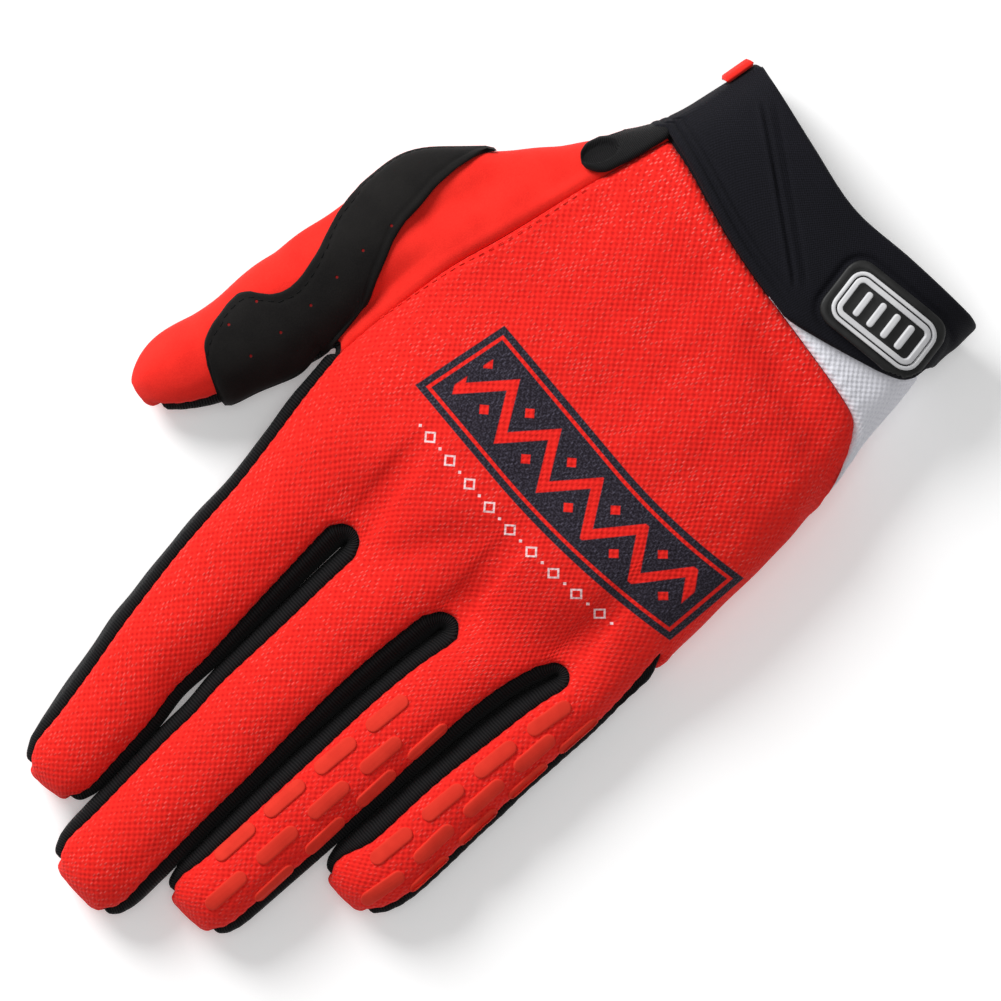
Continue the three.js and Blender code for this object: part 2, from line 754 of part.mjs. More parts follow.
// Little finger's side of the hand
const littleSide = top.map((row, order) => {
  const knuckle = crotch.ringLittle;
  const column = {
    hem: SIDE_HEM * HAND_LENGTH,
    end: cuffEndLevel,
    crotch: lowerShare(SIDE_HEM * HAND_LENGTH, knuckle),
    knuckle,
  };
  const y = rowLevel(order, column);
  const flank = order === topRow ? digitFlank(digitSection('little', 0), -1)
    : new THREE.Vector3(outline(LITTLE_EDGE, y), y, handTall(y) * EDGE_SHARE);
  return wallNumbers(row[0], flank, under[order][0]);
});

// Outer side of the thumb's base, down to the wrist
const thumbBaseSide = topBase.map((row, order) => {
  const column = {
    hem: THUMB_HEM * HAND_LENGTH, end: cuffEndLevel, crotch: DIGITS.thumb.base[1], knuckle: 0,
  };
  const y = rowLevel(order, column);
  const flank = order === crotchRow ? digitFlank(digitSection('thumb', 0), 1)
    : new THREE.Vector3(outline(THUMB_OUTLINE, y), y, handTall(y) * EDGE_SHARE);
  return wallNumbers(lastOf(row), flank, lastOf(underBase[order]));
});

// Side of the hand between the thumb's crotch and the index finger
const indexBaseSide = [];
for (let row = crotchRow; row <= topRow; row += 1) {
  const y = (skin.points[lastOf(top[row])].y + skin.points[lastOf(under[row])].y) / 2;
  const flank = row === topRow ? digitFlank(digitSection('index', 0), 1)
    : new THREE.Vector3(line.indexOuter(y), y, handTall(y) * EDGE_SHARE);
  indexBaseSide.push(wallNumbers(lastOf(top[row]), flank, lastOf(under[row])));
}

// Rows of a digit: top, underside, left and right walls, each a list of point numbers
function buildDigit(name, base) {
  const rows = [base];
  for (const s of digitStations(name).slice(1)) {
    const section = digitSection(name, s);
    const topRowNumbers = digitRow(name, s, false).map(addPoint);
    const underRowNumbers = digitRow(name, s, true).map(addPoint);
    rows.push({
      top: topRowNumbers,
      under: underRowNumbers,
      left: wallNumbers(topRowNumbers[0], digitFlank(section, -1), underRowNumbers[0]),
      right: wallNumbers(lastOf(topRowNumbers), digitFlank(section, 1), lastOf(underRowNumbers)),
    });
  }
  return rows;
}

// Walls of a crotch: each station goes from the top sheet to the underside
function crotchWalls(topRowNumbers, underRowNumbers, from, to, drop) {
  const flanks = crotchArc(from, to, drop);
  return topRowNumbers.map((topNumber, k) => wallNumbers(topNumber, flanks[k], underRowNumbers[k]));
}

const digitRows = {};
const crotchStations = {};
const step = { top: DIGIT_TOP_FACES + GAP_FACES, under: DIGIT_BOTTOM_FACES + GAP_FACES };
FINGER_ORDER.forEach((name, order) => {
  const topStart = order * step.top;
  const underStart = order * step.under;
  const base = {
    top: top[topRow].slice(topStart, topStart + DIGIT_TOP_FACES + 1),
    under: under[topRow].slice(underStart, underStart + DIGIT_BOTTOM_FACES + 1),
    left: order === 0 ? littleSide[topRow] : null,
    right: name === 'index' ? lastOf(indexBaseSide) : null,
  };
  if (order > 0) {
    const gapTop = top[topRow].slice(topStart - GAP_FACES, topStart + 1);
    const gapUnder = under[topRow].slice(underStart - GAP_FACES, underStart + 1);
    const before = FINGER_ORDER[order - 1];
    const from = digitFlank(digitSection(before, 0), 1);
    const to = digitFlank(digitSection(name, 0), -1);
    const stations = crotchWalls(gapTop, gapUnder, from, to, FINGER_GAP);
    crotchStations[name] = stations;
    digitRows[before][0].right = stations[0];
    base.left = lastOf(stations);
  }
  digitRows[name] = buildDigit(name, base);
});

const thumbGapTop = topBase[crotchRow].slice(0, GAP_FACES + 1);
const thumbGapUnder = underBase[crotchRow].slice(0, GAP_FACES + 1);
const thumbFlank = digitFlank(digitSection('thumb', 0), -1);
const indexFlankLevel = (skin.points[thumbGapTop[0]].y + skin.points[thumbGapUnder[0]].y) / 2;
const indexFlank = new THREE.Vector3(
  line.indexOuter(indexFlankLevel),
  indexFlankLevel,
  handTall(indexFlankLevel) * EDGE_SHARE,
);
const thumbStations = crotchWalls(thumbGapTop, thumbGapUnder, indexFlank, thumbFlank, FINGER_GAP);
thumbStations[0] = indexBaseSide[0];
digitRows.thumb = buildDigit('thumb', {
  top: topBase[crotchRow].slice(GAP_FACES),
  under: underBase[crotchRow].slice(GAP_FACES),
  left: lastOf(thumbStations),
  right: thumbBaseSide[crotchRow],
});

// Faces of the hand's rows
const gussetColumns = FINGER_ORDER.indexOf(GUSSET_END_DIGIT);
for (let row = 0; row < topRow; row += 1) {
  const inCuff = row < gussetRow;
  const inGusset = row >= gussetRow && row < hemRow;
  const topPiece = (k) => {
    if (inCuff || (inGusset && k >= gussetColumns * step.top)) return 'cuff';
    return inGusset ? 'wrist_gusset' : 'back_panel';
  };
  const underPiece = (k) => {
    if (inCuff || (inGusset && k >= DIGIT_BOTTOM_FACES)) return 'cuff';
    return inGusset ? 'wrist_gusset' : 'palm_panel';
  };
  const wallPiece = () => {
    if (inCuff) return 'cuff';
    if (inGusset) return 'wrist_gusset';
    return row >= crotchRow + 1 ? 'little_side_strip' : 'back_panel';
  };
  addBand(top[row], top[row + 1], topPiece);
  addBand(under[row + 1], under[row], underPiece);
  addBand(littleSide[row + 1], littleSide[row], wallPiece);
}
for (let row = 0; row < crotchRow; row += 1) {
  const inCuff = row < hemRow;
  addBand(topBase[row], topBase[row + 1], () => (inCuff ? 'cuff' : 'thumb_back_panel'));
  addBand(underBase[row + 1], underBase[row], () => (inCuff ? 'cuff' : 'thumb_palm_panel'));
  addBand(thumbBaseSide[row], thumbBaseSide[row + 1], () => (inCuff ? 'cuff' : 'thumb_back_panel'));
}
for (let row = 0; row + 1 < indexBaseSide.length; row += 1) {
  addBand(indexBaseSide[row], indexBaseSide[row + 1], () => 'index_side_strip');
}

// Faces of the digits; near the tip the walls belong to the top panel
const STRIPS = {
  little: { left: 'little_side_strip', right: 'fourchette_ring_little' },
  ring: { left: 'fourchette_ring_little', right: 'fourchette_middle_ring' },
  middle: { left: 'fourchette_middle_ring', right: 'fourchette_index_middle' },
  index: { left: 'fourchette_index_middle', right: 'index_side_strip' },
  thumb: { left: 'thumb_side_strip', right: 'thumb_back_panel' },
};
const tipLoops = [];
for (const [name, rows] of Object.entries(digitRows)) {
  const topName = name === 'thumb' ? 'thumb_back_panel' : 'back_panel';
  const underName = name === 'thumb' ? 'thumb_palm_panel' : 'palm_panel';
  for (let row = 0; row + 1 < rows.length; row += 1) {
    const atTip = row >= FINGER_BANDS + STRIP_TIP_BANDS;
    addBand(rows[row].top, rows[row + 1].top, () => topName);
    addBand(rows[row + 1].under, rows[row].under, () => underName);
    addBand(rows[row + 1].left, rows[row].left, () => (atTip ? topName : STRIPS[name].left));
    addBand(rows[row].right, rows[row + 1].right, () => (atTip ? topName : STRIPS[name].right));
  }
  const end = lastOf(rows);
  const loop = [...end.top, ...end.right.slice(1), ...end.under.slice(0, -1).reverse(),
    ...end.left.slice(1, -1).reverse()];
  const centre = new THREE.Vector3();
  for (const k of loop) centre.addScaledVector(skin.points[k], 1 / loop.length);
  const middle = addPoint(centre);
  const inside = new THREE.Vector3();
  const before = rows[rows.length - 2];
  for (const k of [before.top[0], lastOf(before.top), before.under[0], lastOf(before.under)]) {
    inside.addScaledVector(skin.points[k], 1 / 4);
  }
  tipLoops.push({ loop, ahead: centre.clone().sub(inside).normalize() });
  loop.forEach((k, order) => {
    const next = loop[(order + 1) % loop.length];
    skin.faces.push({ piece: 'tip', corners: [k, next, middle, middle] });
  });
}
for (const [name, stations] of Object.entries(crotchStations)) {
  for (let k = 0; k + 1 < stations.length; k += 1) {
    addBand(stations[k + 1], stations[k], () => STRIPS[name].left);
  }
}
for (let k = 0; k + 1 < thumbStations.length; k += 1) {
  addBand(thumbStations[k + 1], thumbStations[k], () => 'thumb_side_strip');
}

// Smooth normals of the whole skin
skin.normals = skin.points.map(() => new THREE.Vector3());
for (const face of skin.faces) {
  const [a, b, c, d] = face.corners.map((k) => skin.points[k]);
  const across = c.clone().sub(a);
  const normal = across.cross(d.clone().sub(b));
  for (const k of new Set(face.corners)) skin.normals[k].add(normal);
}
skin.normals.forEach((normal) => normal.normalize());
for (const { loop, ahead } of tipLoops) {
  for (const k of loop) skin.normals[k].copy(ahead);
}

// Closed solid between two copies of a surface, with walls round its edges
function closedShell(outer, inner, faces) {
  const count = outer.length;
  const positions = [...outer, ...inner].flatMap((p) => [p.x, p.y, p.z]);
  const index = [];
  const edges = new Map();
  for (const corners of faces) {
    const ring = corners.filter((k, order) => k !== corners[(order + 1) % corners.length]);
    for (let k = 1; k + 1 < ring.length; k += 1) {
      index.push(ring[0], ring[k], ring[k + 1]);
      index.push(ring[0] + count, ring[k + 1] + count, ring[k] + count);
    }
    ring.forEach((from, order) => {
      const to = ring[(order + 1) % ring.length];
      if (edges.has(`${to}_${from}`)) edges.delete(`${to}_${from}`);
      else edges.set(`${from}_${to}`, [from, to]);
    });
  }
  for (const [from, to] of edges.values()) {
    index.push(from, from + count, to + count);
    index.push(from, to + count, to);
  }
  const geometry = new THREE.BufferGeometry();
  geometry.setAttribute('position', new THREE.Float32BufferAttribute(positions, 3));
  geometry.setIndex(index);
  return geometry;
}

// Edges that only one face of a piece has, as pairs of point numbers
function openEdges(faces) {
  const edges = new Map();
  for (const corners of faces) {
    corners.forEach((from, order) => {
      const to = corners[(order + 1) % corners.length];
      if (edges.has(`${to}_${from}`)) edges.delete(`${to}_${from}`);
      else edges.set(`${from}_${to}`, [from, to]);
    });
  }
  return [...edges.values()];
}

// A panel of the skin: its faces, drawn back from its seams and thickened inwards
function panelGeometry(piece, wall) {
  const faces = skin.faces.filter((face) => face.piece === piece).map((face) => face.corners);
  const used = [...new Set(faces.flat())];
  const local = new Map(used.map((k, order) => [k, order]));
  const inwards = used.map(() => []);
  for (const [from, to] of openEdges(faces)) {
    const along = skin.points[to].clone().sub(skin.points[from]);
    for (const k of [from, to]) {
      inwards[local.get(k)].push(skin.normals[k].clone().cross(along).normalize());
    }
  }
  const outer = used.map((k, order) => {
    const sum = new THREE.Vector3();
    for (const inward of inwards[order]) sum.add(inward);
    const reach = sum.lengthSq() > 0 ? inwards[order].length / sum.lengthSq() : 0;
    sum.multiplyScalar(SEAM_GAP / 2 * Math.min(reach, MITRE_LIMIT));
    return skin.points[k].clone().add(sum);
  });
  const inner = outer.map((p, order) => p.clone().addScaledVector(skin.normals[used[order]], -wall));
  return closedShell(outer, inner, faces.map((corners) => corners.map((k) => local.get(k))));
}

// Value on a grid of skin numbers at a row and column that need not be whole
function onGrid(grid, vectors, row, column) {
  const k = Math.min(Math.floor(row), grid.length - 2);
  const left = Math.min(Math.floor(column), grid[k].length - 2);
  const up = row - k;
  const over = column - left;
  const a = vectors[grid[k][left]].clone();
  const c = vectors[grid[k + 1][left + 1]];
  const b = over >= up ? vectors[grid[k][left + 1]] : vectors[grid[k + 1][left]];
  const along = over >= up ? over : up;
  const beside = over >= up ? up : over;
  return a.addScaledVector(b.clone().sub(vectors[grid[k][left]]), along)
    .addScaledVector(c.clone().sub(b), beside);
}

// A layer on a grid of skin points: low and high bound each of its lines by row
function layerGeometry(grid, bounds, lift, thickness, acrossRows = false) {
  const inner = [];
  const outer = [];
  const count = acrossRows ? grid[0].length : grid.length;
  const numbers = bounds.map(({ line: place, low, high }) => {
    const list = [];
    for (let k = 0; k < count; k += 1) {
      const at = Math.min(Math.max(k, low), high);
      if (k > 0 && lastOf(list).at === at) {
        list.push(lastOf(list));
      } else {
        const row = acrossRows ? place : at;
        const column = acrossRows ? at : place;
        const normal = onGrid(grid, skin.normals, row, column).normalize();
        const point = onGrid(grid, skin.points, row, column);
        inner.push(point.clone().addScaledVector(normal, lift));
        outer.push(point.clone().addScaledVector(normal, lift + thickness));
        list.push({ at, number: outer.length - 1 });
      }
    }
    return list.map((entry) => entry.number);
  });
  const faces = [];
  for (let k = 0; k + 1 < numbers.length; k += 1) {
    for (let row = 0; row + 1 < count; row += 1) {
      const corners = [numbers[k][row], numbers[k + 1][row], numbers[k + 1][row + 1], numbers[k][row + 1]];
      if (acrossRows) corners.reverse().unshift(corners.pop());
      if (new Set(corners).size > 2) faces.push(corners);
    }
  }
  return closedShell(outer, inner, faces);
}

// Row share at which a column of a grid reaches a level
function rowAtLevel(grid, column, level) {
  let from = onGrid(grid, skin.points, 0, column).y;
  for (let row = 1; row < grid.length; row += 1) {
    const to = onGrid(grid, skin.points, row, column).y;
    if (level <= to) return row - 1 + Math.max(0, (level - from) / (to - from));
    from = to;
  }
  return grid.length - 1;
}

// Column share at which a row of a grid crosses an outline that gives x for each y
function columnAtEdge(grid, row, edgeAt, start) {
  for (let column = start + 1; column < grid[row].length; column += 1) {
    const from = skin.points[grid[row][column - 1]];
    const to = skin.points[grid[row][column]];
    const before = from.x - edgeAt(from.y);
    const after = to.x - edgeAt(to.y);
    if (after > 0) return column - 1 + Math.min(1, Math.max(0, -before / (after - before)));
  }
  return grid[row].length - 1;
}

// Place on top of the glove, found on the skin's faces that look up
function dropOn(x, y) {
  for (const face of skin.faces) {
    const [a, b, c, d] = face.corners;
    for (const [i, j, k] of [[a, b, c], [a, c, d]]) {
      const [p, q, r] = [skin.points[i], skin.points[j], skin.points[k]];
      const area = (q.x - p.x) * (r.y - p.y) - (q.y - p.y) * (r.x - p.x);
      if (area > 0) {
        const u = ((q.x - x) * (r.y - y) - (q.y - y) * (r.x - x)) / area;
        const v = ((r.x - x) * (p.y - y) - (r.y - y) * (p.x - x)) / area;
        const w = 1 - u - v;
        if (u >= 0 && v >= 0 && w >= 0) {
          const normal = new THREE.Vector3().addScaledVector(skin.normals[i], u)
            .addScaledVector(skin.normals[j], v).addScaledVector(skin.normals[k], w).normalize();
          return { point: new THREE.Vector3(x, y, u * p.z + v * q.z + w * r.z), normal };
        }
      }
    }
  }
  throw new Error(`nothing below ${x}, ${y}`);
}

// A flat ribbon along points in plan, laid over the glove
function ribbonGeometry(path, width, lift, thickness, closed) {
  const inner = [];
  const outer = [];
  path.forEach((point, order) => {
    const last = path.length - 1;
    const before = closed ? path[(order + last) % path.length] : path[Math.max(order - 1, 0)];
    const after = closed ? path[(order + 1) % path.length] : path[Math.min(order + 1, last)];
    const side = after.clone().sub(before).normalize().rotateAround(new THREE.Vector2(), -Math.PI / 2);
    for (const sign of [-1, 1]) {
      const at = point.clone().addScaledVector(side, sign * width / 2);
      const seat = dropOn(at.x, at.y);
      inner.push(seat.point.clone().addScaledVector(seat.normal, lift));
      outer.push(seat.point.clone().addScaledVector(seat.normal, lift + thickness));
    }
  });
  const faces = [];
  for (let k = 0; k < path.length - (closed ? 0 : 1); k += 1) {
    const next = (k + 1) % path.length;
    faces.push([2 * k, 2 * k + 1, 2 * next + 1, 2 * next]);
  }
  return closedShell(outer, inner, faces);
}

const glove = new THREE.Group();

function addPiece(name, geometry, look) {
  const mesh = new THREE.Mesh(geometry, new THREE.MeshStandardMaterial(LOOKS[look]));
  mesh.name = name;
  glove.add(mesh);
  return mesh;
}

const PANELS = [
  { piece: 'back_panel', wall: PANEL_WALL, look: 'redKnit' },
  { piece: 'palm_panel', wall: PANEL_WALL, look: 'redSuede' },
  { piece: 'thumb_back_panel', wall: PANEL_WALL, look: 'redSuede' },
  { piece: 'thumb_palm_panel', wall: PANEL_WALL, look: 'redSuede' },
  { piece: 'fourchette_index_middle', wall: STRIP_WALL, look: 'blackRib' },
  { piece: 'fourchette_middle_ring', wall: STRIP_WALL, look: 'blackRib' },
  { piece: 'fourchette_ring_little', wall: STRIP_WALL, look: 'blackRib' },
  { piece: 'index_side_strip', wall: STRIP_WALL, look: 'blackRib' },
  { piece: 'thumb_side_strip', wall: STRIP_WALL, look: 'blackRib' },
  { piece: 'little_side_strip', wall: STRIP_WALL, look: 'blackRib' },
  { piece: 'wrist_gusset', wall: PANEL_WALL, look: 'whiteKnit' },
  { piece: 'cuff', wall: CUFF_WALL, look: 'blackKnit' },
];
for (const { piece, wall, look } of PANELS) addPiece(piece, panelGeometry(piece, wall), look);

// The strap lies over the cuff, from the thumb's side round to the little finger's side
const wristRing = [];
for (let row = 0; row <= hemRow + 1; row += 1) {
  wristRing.push([
    ...littleSide[row].slice(0, STRAP_WRAP + 1).reverse(),
    ...top[row].slice(1),
    ...topBase[row].slice(1),
    ...thumbBaseSide[row].slice(1, STRAP_WRAP + 1),
  ]);
}
const strapBounds = wristRing[0].map((_, column) => {
  const hem = skin.points[wristRing[hemRow][column]];
  const edge = HAND_LENGTH * sample(STRAP_EDGE, 'along', 'across', hem.x / HAND_WIDTH);
  const level = Math.min(edge, hem.y - STRAP_HEM_GAP);
  return { line: column, low: STRAP_END_SHARE, high: rowAtLevel(wristRing, column, level) };
});
addPiece('strap', layerGeometry(wristRing, strapBounds, LAYER_GAP, STRAP_WALL), 'blackKnit');

// The badge follows the strap's free end
const overStrap = LAYER_GAP + STRAP_WALL + LAYER_GAP;
const badgeCentre = new THREE.Vector2(BADGE_PLACE.across * HAND_WIDTH, BADGE_PLACE.along * HAND_LENGTH);
const badgeSlope = Math.tan(BADGE_PLACE.angle * DEGREES);

// Half width of a rounded rectangle at a distance along it
function roundedHalf(distance, halfLength, halfWidth, corner) {
  const into = Math.max(0, Math.abs(distance) - (halfLength - corner)) / corner;
  return halfWidth - corner + corner * arch(into, ROUND_POWER);
}

function columnsBetween(grid, row, fromX, toX) {
  const from = columnAtEdge(grid, row, () => fromX, 0);
  const to = columnAtEdge(grid, row, () => toX, 0);
  const columns = [from];
  for (let k = Math.ceil(from + COLUMN_LEAST); k < to - COLUMN_LEAST; k += 1) columns.push(k);
  return [...columns, to];
}

const badgeReach = BADGE_LENGTH / 2 * Math.cos(BADGE_PLACE.angle * DEGREES);
const badgeColumns = columnsBetween(wristRing, 1, badgeCentre.x - badgeReach, badgeCentre.x + badgeReach);
const badgeBounds = badgeColumns.map((column) => {
  const away = onGrid(wristRing, skin.points, 1, column).x - badgeCentre.x;
  const halfWidth = roundedHalf(away, badgeReach, BADGE_WIDTH / 2, BADGE_CORNER);
  const middle = badgeCentre.y + away * badgeSlope;
  return {
    line: column,
    low: rowAtLevel(wristRing, column, middle - halfWidth),
    high: rowAtLevel(wristRing, column, middle + halfWidth),
  };
});
addPiece('badge_base', layerGeometry(wristRing, badgeBounds, overStrap, BADGE_THICKNESS), 'blackRubber');

const overBadge = overStrap + BADGE_THICKNESS + LAYER_GAP;

function badgePoint(along, up) {
  return new THREE.Vector2(along, up).rotateAround(new THREE.Vector2(), BADGE_PLACE.angle * DEGREES)
    .add(badgeCentre);
}

const frameHalf = { x: BADGE_LENGTH / 2 - FRAME_INSET, y: BADGE_WIDTH / 2 - FRAME_INSET };
const framePath = [];
for (let k = 0; k < FRAME_POINTS; k += 1) {
  const turn = k / FRAME_POINTS * 2 * Math.PI;
  const power = (value) => Math.sign(value) * Math.abs(value) ** FRAME_POWER;
  framePath.push(badgePoint(frameHalf.x * power(Math.cos(turn)), frameHalf.y * power(Math.sin(turn))));
}
const badgeFrame = ribbonGeometry(framePath, FRAME_WIDTH, overBadge, FRAME_THICKNESS, true);
addPiece('badge_frame', badgeFrame, 'whiteRubber');
for (let k = 0; k < RIB_COUNT; k += 1) {
  const along = (k - (RIB_COUNT - 1) / 2) * RIB_SPACING;
  const path = [];
  for (let j = 0; j <= RIB_STEPS; j += 1) {
    path.push(badgePoint(along, (j / RIB_STEPS - 1 / 2) * RIB_LENGTH));
  }
  const rib = ribbonGeometry(path, RIB_WIDTH, overBadge, FRAME_THICKNESS, false);
  addPiece(`badge_rib_${k + 1}`, rib, 'whiteRubber');
}

// The tab stands out from the strap at the thumb's side of the cuff
const lastColumn = wristRing[0].length - 1;
const tabBounds = [];
for (let column = lastColumn - TAB_COLUMNS; column <= lastColumn - 1; column += 1) {
  const low = rowAtLevel(wristRing, column, cuffEndLevel + TAB_RISE);
  const high = rowAtLevel(wristRing, column, cuffEndLevel + TAB_RISE + TAB_LENGTH);
  tabBounds.push({ line: column, low, high });
}
addPiece('pull_tab', layerGeometry(wristRing, tabBounds, overStrap, TAB_THICKNESS), 'redSuede');

// The overlay lies on the thumb, from its base to below the tip
const thumbGrid = [];
for (let row = hemRow; row <= crotchRow; row += 1) {
  thumbGrid.push([...topBase[row], ...thumbBaseSide[row].slice(1)]);
}
const crotchLine = thumbGrid.length - 1;
for (const row of digitRows.thumb.slice(1)) {
  const wall = row.left.slice(1).reverse();
  thumbGrid.push([...wall.slice(SIDE_FACES - GAP_FACES), ...row.top, ...row.right.slice(1)]);
}
const overlayEdge = (key) => (y) => HAND_WIDTH * sample(OVERLAY_EDGES, key, 'along', y / HAND_LENGTH);
const overlayBounds = [];
for (let row = OVERLAY_FIRST_LINE; row <= crotchLine + OVERLAY_LAST_LINE; row += 1) {
  const beyond = (row - crotchLine) / OVERLAY_WRAP_LINES;
  const wrap = GAP_FACES - OVERLAY_WRAP * smoothStep(beyond);
  const from = row <= crotchLine ? columnAtEdge(thumbGrid, row, overlayEdge('from'), 0) : wrap;
  const to = columnAtEdge(thumbGrid, row, overlayEdge('to'), row < crotchLine ? 0 : GAP_FACES);
  const reach = GAP_FACES + DIGIT_TOP_FACES + OVERLAY_SIDE;
  const high = Math.min(to, reach);
  overlayBounds.push({ line: row, low: Math.min(from, high - OVERLAY_LEAST), high });
}
const overlay = layerGeometry(thumbGrid, overlayBounds, OVERLAY_LIFT, OVERLAY_WALL, true);
addPiece('thumb_overlay', overlay, 'blackSuede');

// The binding is a tongue over the panels at the thumb's side of the wrist
const bindingBounds = [];
for (let column = 0; column <= BINDING_COLUMNS; column += 1) {
  const away = column / BINDING_COLUMNS * 2 - 1;
  const place = column + BINDING_EDGE * (1 - away) / 2;
  const foot = skin.points[thumbGrid[0][Math.round(place)]].y + BINDING_FOOT_GAP;
  const round = BINDING_ROUND * (1 - arch(away, ROUND_POWER));
  bindingBounds.push({
    line: place,
    low: rowAtLevel(thumbGrid, place, foot),
    high: rowAtLevel(thumbGrid, place, HAND_LENGTH * THUMB_HEM + BINDING_LENGTH - round),
  });
}
addPiece('slit_binding', layerGeometry(thumbGrid, bindingBounds, LAYER_GAP, BINDING_THICKNESS), 'blackRib');

// Rubber bars in three staggered rows on a finger
function addBars(finger, rows) {
  const section = (s) => digitSection(finger, s);
  let order = 0;
  for (const bars of rows) {
    for (let k = 0; k < BARS_IN_ROW; k += 1) {
      const s = bars.first + k * BAR_PITCH / DIGITS[finger].long;
      const across = bars.across + k * bars.lean;
      const turned = bars.lean * BAR_AHEAD * DIGITS[finger].long / BAR_PITCH;
      const at = digitPoint(section(s), across, false);
      const ahead = digitPoint(section(s + BAR_AHEAD), across + turned, false);
      const shape = new THREE.Shape();
      const straight = BAR_LENGTH / 2 - BAR_WIDTH / 2;
      shape.absarc(straight, 0, BAR_WIDTH / 2, -Math.PI / 2, Math.PI / 2);
      shape.absarc(-straight, 0, BAR_WIDTH / 2, Math.PI / 2, Math.PI * 3 / 2);
      const options = { depth: BAR_THICKNESS, bevelEnabled: false, curveSegments: BAR_SEGMENTS };
      const bar = new THREE.ExtrudeGeometry(shape, options);
      const seat = dropOn(at.x, at.y);
      const along = ahead.sub(at).addScaledVector(seat.normal, -ahead.dot(seat.normal)).normalize();
      const side = seat.normal.clone().cross(along);
      const turn = new THREE.Matrix4().makeBasis(along, side, seat.normal);
      let lift = 0;
      for (const u of [-1, 0, 1]) {
        for (const v of [-1, 0, 1]) {
          const foot = seat.point.clone().addScaledVector(along, u * BAR_LENGTH / 2)
            .addScaledVector(side, v * BAR_WIDTH / 2);
          const below = dropOn(foot.x, foot.y).point.sub(foot);
          lift = Math.max(lift, below.dot(seat.normal));
        }
      }
      const place = seat.point.clone().addScaledVector(seat.normal, lift + LAYER_GAP);
      order += 1;
      const mesh = addPiece(`${finger}_bar_${String(order).padStart(2, '0')}`, bar, 'redRubber');
      mesh.quaternion.setFromRotationMatrix(turn);
      mesh.position.copy(place);
    }
  }
}
addBars('ring', RING_BARS);
addBars('little', LITTLE_BARS);

// Origin at the middle of the underside
glove.updateMatrixWorld(true);
const box = new THREE.Box3().setFromObject(glove, true);
const centre = box.getCenter(new THREE.Vector3());
glove.position.set(-centre.x, -centre.y, -box.min.z);
glove.updateMatrixWorld(true);

export default glove;
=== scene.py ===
from math import cos, exp, hypot, pi, radians, sin

import bpy
import numpy as np
from mathutils import Matrix, Vector
from mathutils.bvhtree import BVHTree
from mathutils.kdtree import KDTree


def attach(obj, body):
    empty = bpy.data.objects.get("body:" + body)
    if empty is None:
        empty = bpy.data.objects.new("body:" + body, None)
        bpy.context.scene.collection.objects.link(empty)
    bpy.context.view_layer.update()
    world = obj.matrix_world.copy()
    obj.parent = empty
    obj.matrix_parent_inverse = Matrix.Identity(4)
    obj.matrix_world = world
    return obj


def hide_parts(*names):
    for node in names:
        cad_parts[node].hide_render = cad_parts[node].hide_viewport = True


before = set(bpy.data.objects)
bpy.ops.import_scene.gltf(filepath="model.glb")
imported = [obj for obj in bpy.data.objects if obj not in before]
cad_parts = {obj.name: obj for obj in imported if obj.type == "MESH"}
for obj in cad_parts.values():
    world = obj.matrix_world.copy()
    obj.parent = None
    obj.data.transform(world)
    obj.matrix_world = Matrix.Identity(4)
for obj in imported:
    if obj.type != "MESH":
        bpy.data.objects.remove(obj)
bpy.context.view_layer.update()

# The glove's own frame is in millimetres, with its origin here in the part's frame
MM = 0.001
PLACE = Vector((-0.443, -1.574, 0.003))

# Sizes of the glove
HAND_WIDTH = 94
HAND_LENGTH = 80
CUFF_LENGTH = 30
HAND_HEIGHT = 26
FINGER_HEIGHT = 17
THUMB_HEIGHT = 18
EDGE_SHARE = 0.42
LENGTHS = {"index": 84.5, "middle": 95.6, "ring": 89, "little": 67.5, "thumb": 38}
PANEL_WALL = 1.2
STRIP_WALL = 1.0
CUFF_WALL = 1.7
FINGER_GAP = 0.06
LENS_WIDTH = 1.5
LENS_LEVEL = 69
LENS_REACH = 5
CROTCH_RADIUS = 3.3
THUMB_CROTCH_RADIUS = 1.1
THUMB_BASE_DROP = 4
UNDERSIDE_FLAT = 0.5

# Faces of the skin before it is subdivided
DIGIT_TOP_FACES = 5
DIGIT_BOTTOM_FACES = 4
GAP_FACES = 4
SIDE_FACES = 4
CUFF_BANDS = 5
GUSSET_BANDS = 4
LOWER_HAND_BANDS = 16
UPPER_HAND_BANDS = 6
FINGER_BANDS = 22
TIP_BANDS = 6
STRIP_TIP_BANDS = 4


def table(columns, *rows):
    """Rows of a table as dictionaries with the named columns."""
    names = columns.split()
    return [dict(zip(names, row)) for row in rows]


# Plan outlines below the knuckles: along is a share of the hand's length, across of its width
LITTLE_EDGE = table(
    "along across",
    (-1.38, -0.479), (-1.212, -0.489), (-1.163, -0.504), (-1.1, -0.522), (-1.0, -0.524),
    (-0.938, -0.532), (-0.812, -0.559), (-0.688, -0.585), (-0.5, -0.604), (-0.25, -0.619),
    (0, -0.634), (0.2, -0.642),
)
BACK_SEAM = table(
    "along across",
    (-1.38, 0.245), (-1.188, 0.259), (-1.075, 0.279), (-0.838, 0.314), (-0.688, 0.33),
    (-0.525, 0.351), (-0.412, 0.372), (-0.225, 0.388), (-0.125, 0.392), (-0.037, 0.39),
    (0.037, 0.379), (0.125, 0.363), (0.27, 0.333),
)
THUMB_OUTLINE = table(
    "along across",
    (-1.38, 0.256), (-1.188, 0.273), (-1.087, 0.296), (-1.0, 0.329), (-0.938, 0.366),
    (-0.838, 0.42), (-0.675, 0.516), (-0.588, 0.583), (-0.537, 0.612), (-0.475, 0.629),
    (-0.35, 0.633), (-0.25, 0.641), (-0.125, 0.651), (0, 0.661),
)
HAND_PROFILE = table(
    "along height",
    (-1.38, 0.86), (-1.15, 0.88), (-1.0, 0.92), (-0.75, 1), (-0.4, 1), (-0.1, 0.95),
    (0.1, 0.88), (0.3, 0.8),
)

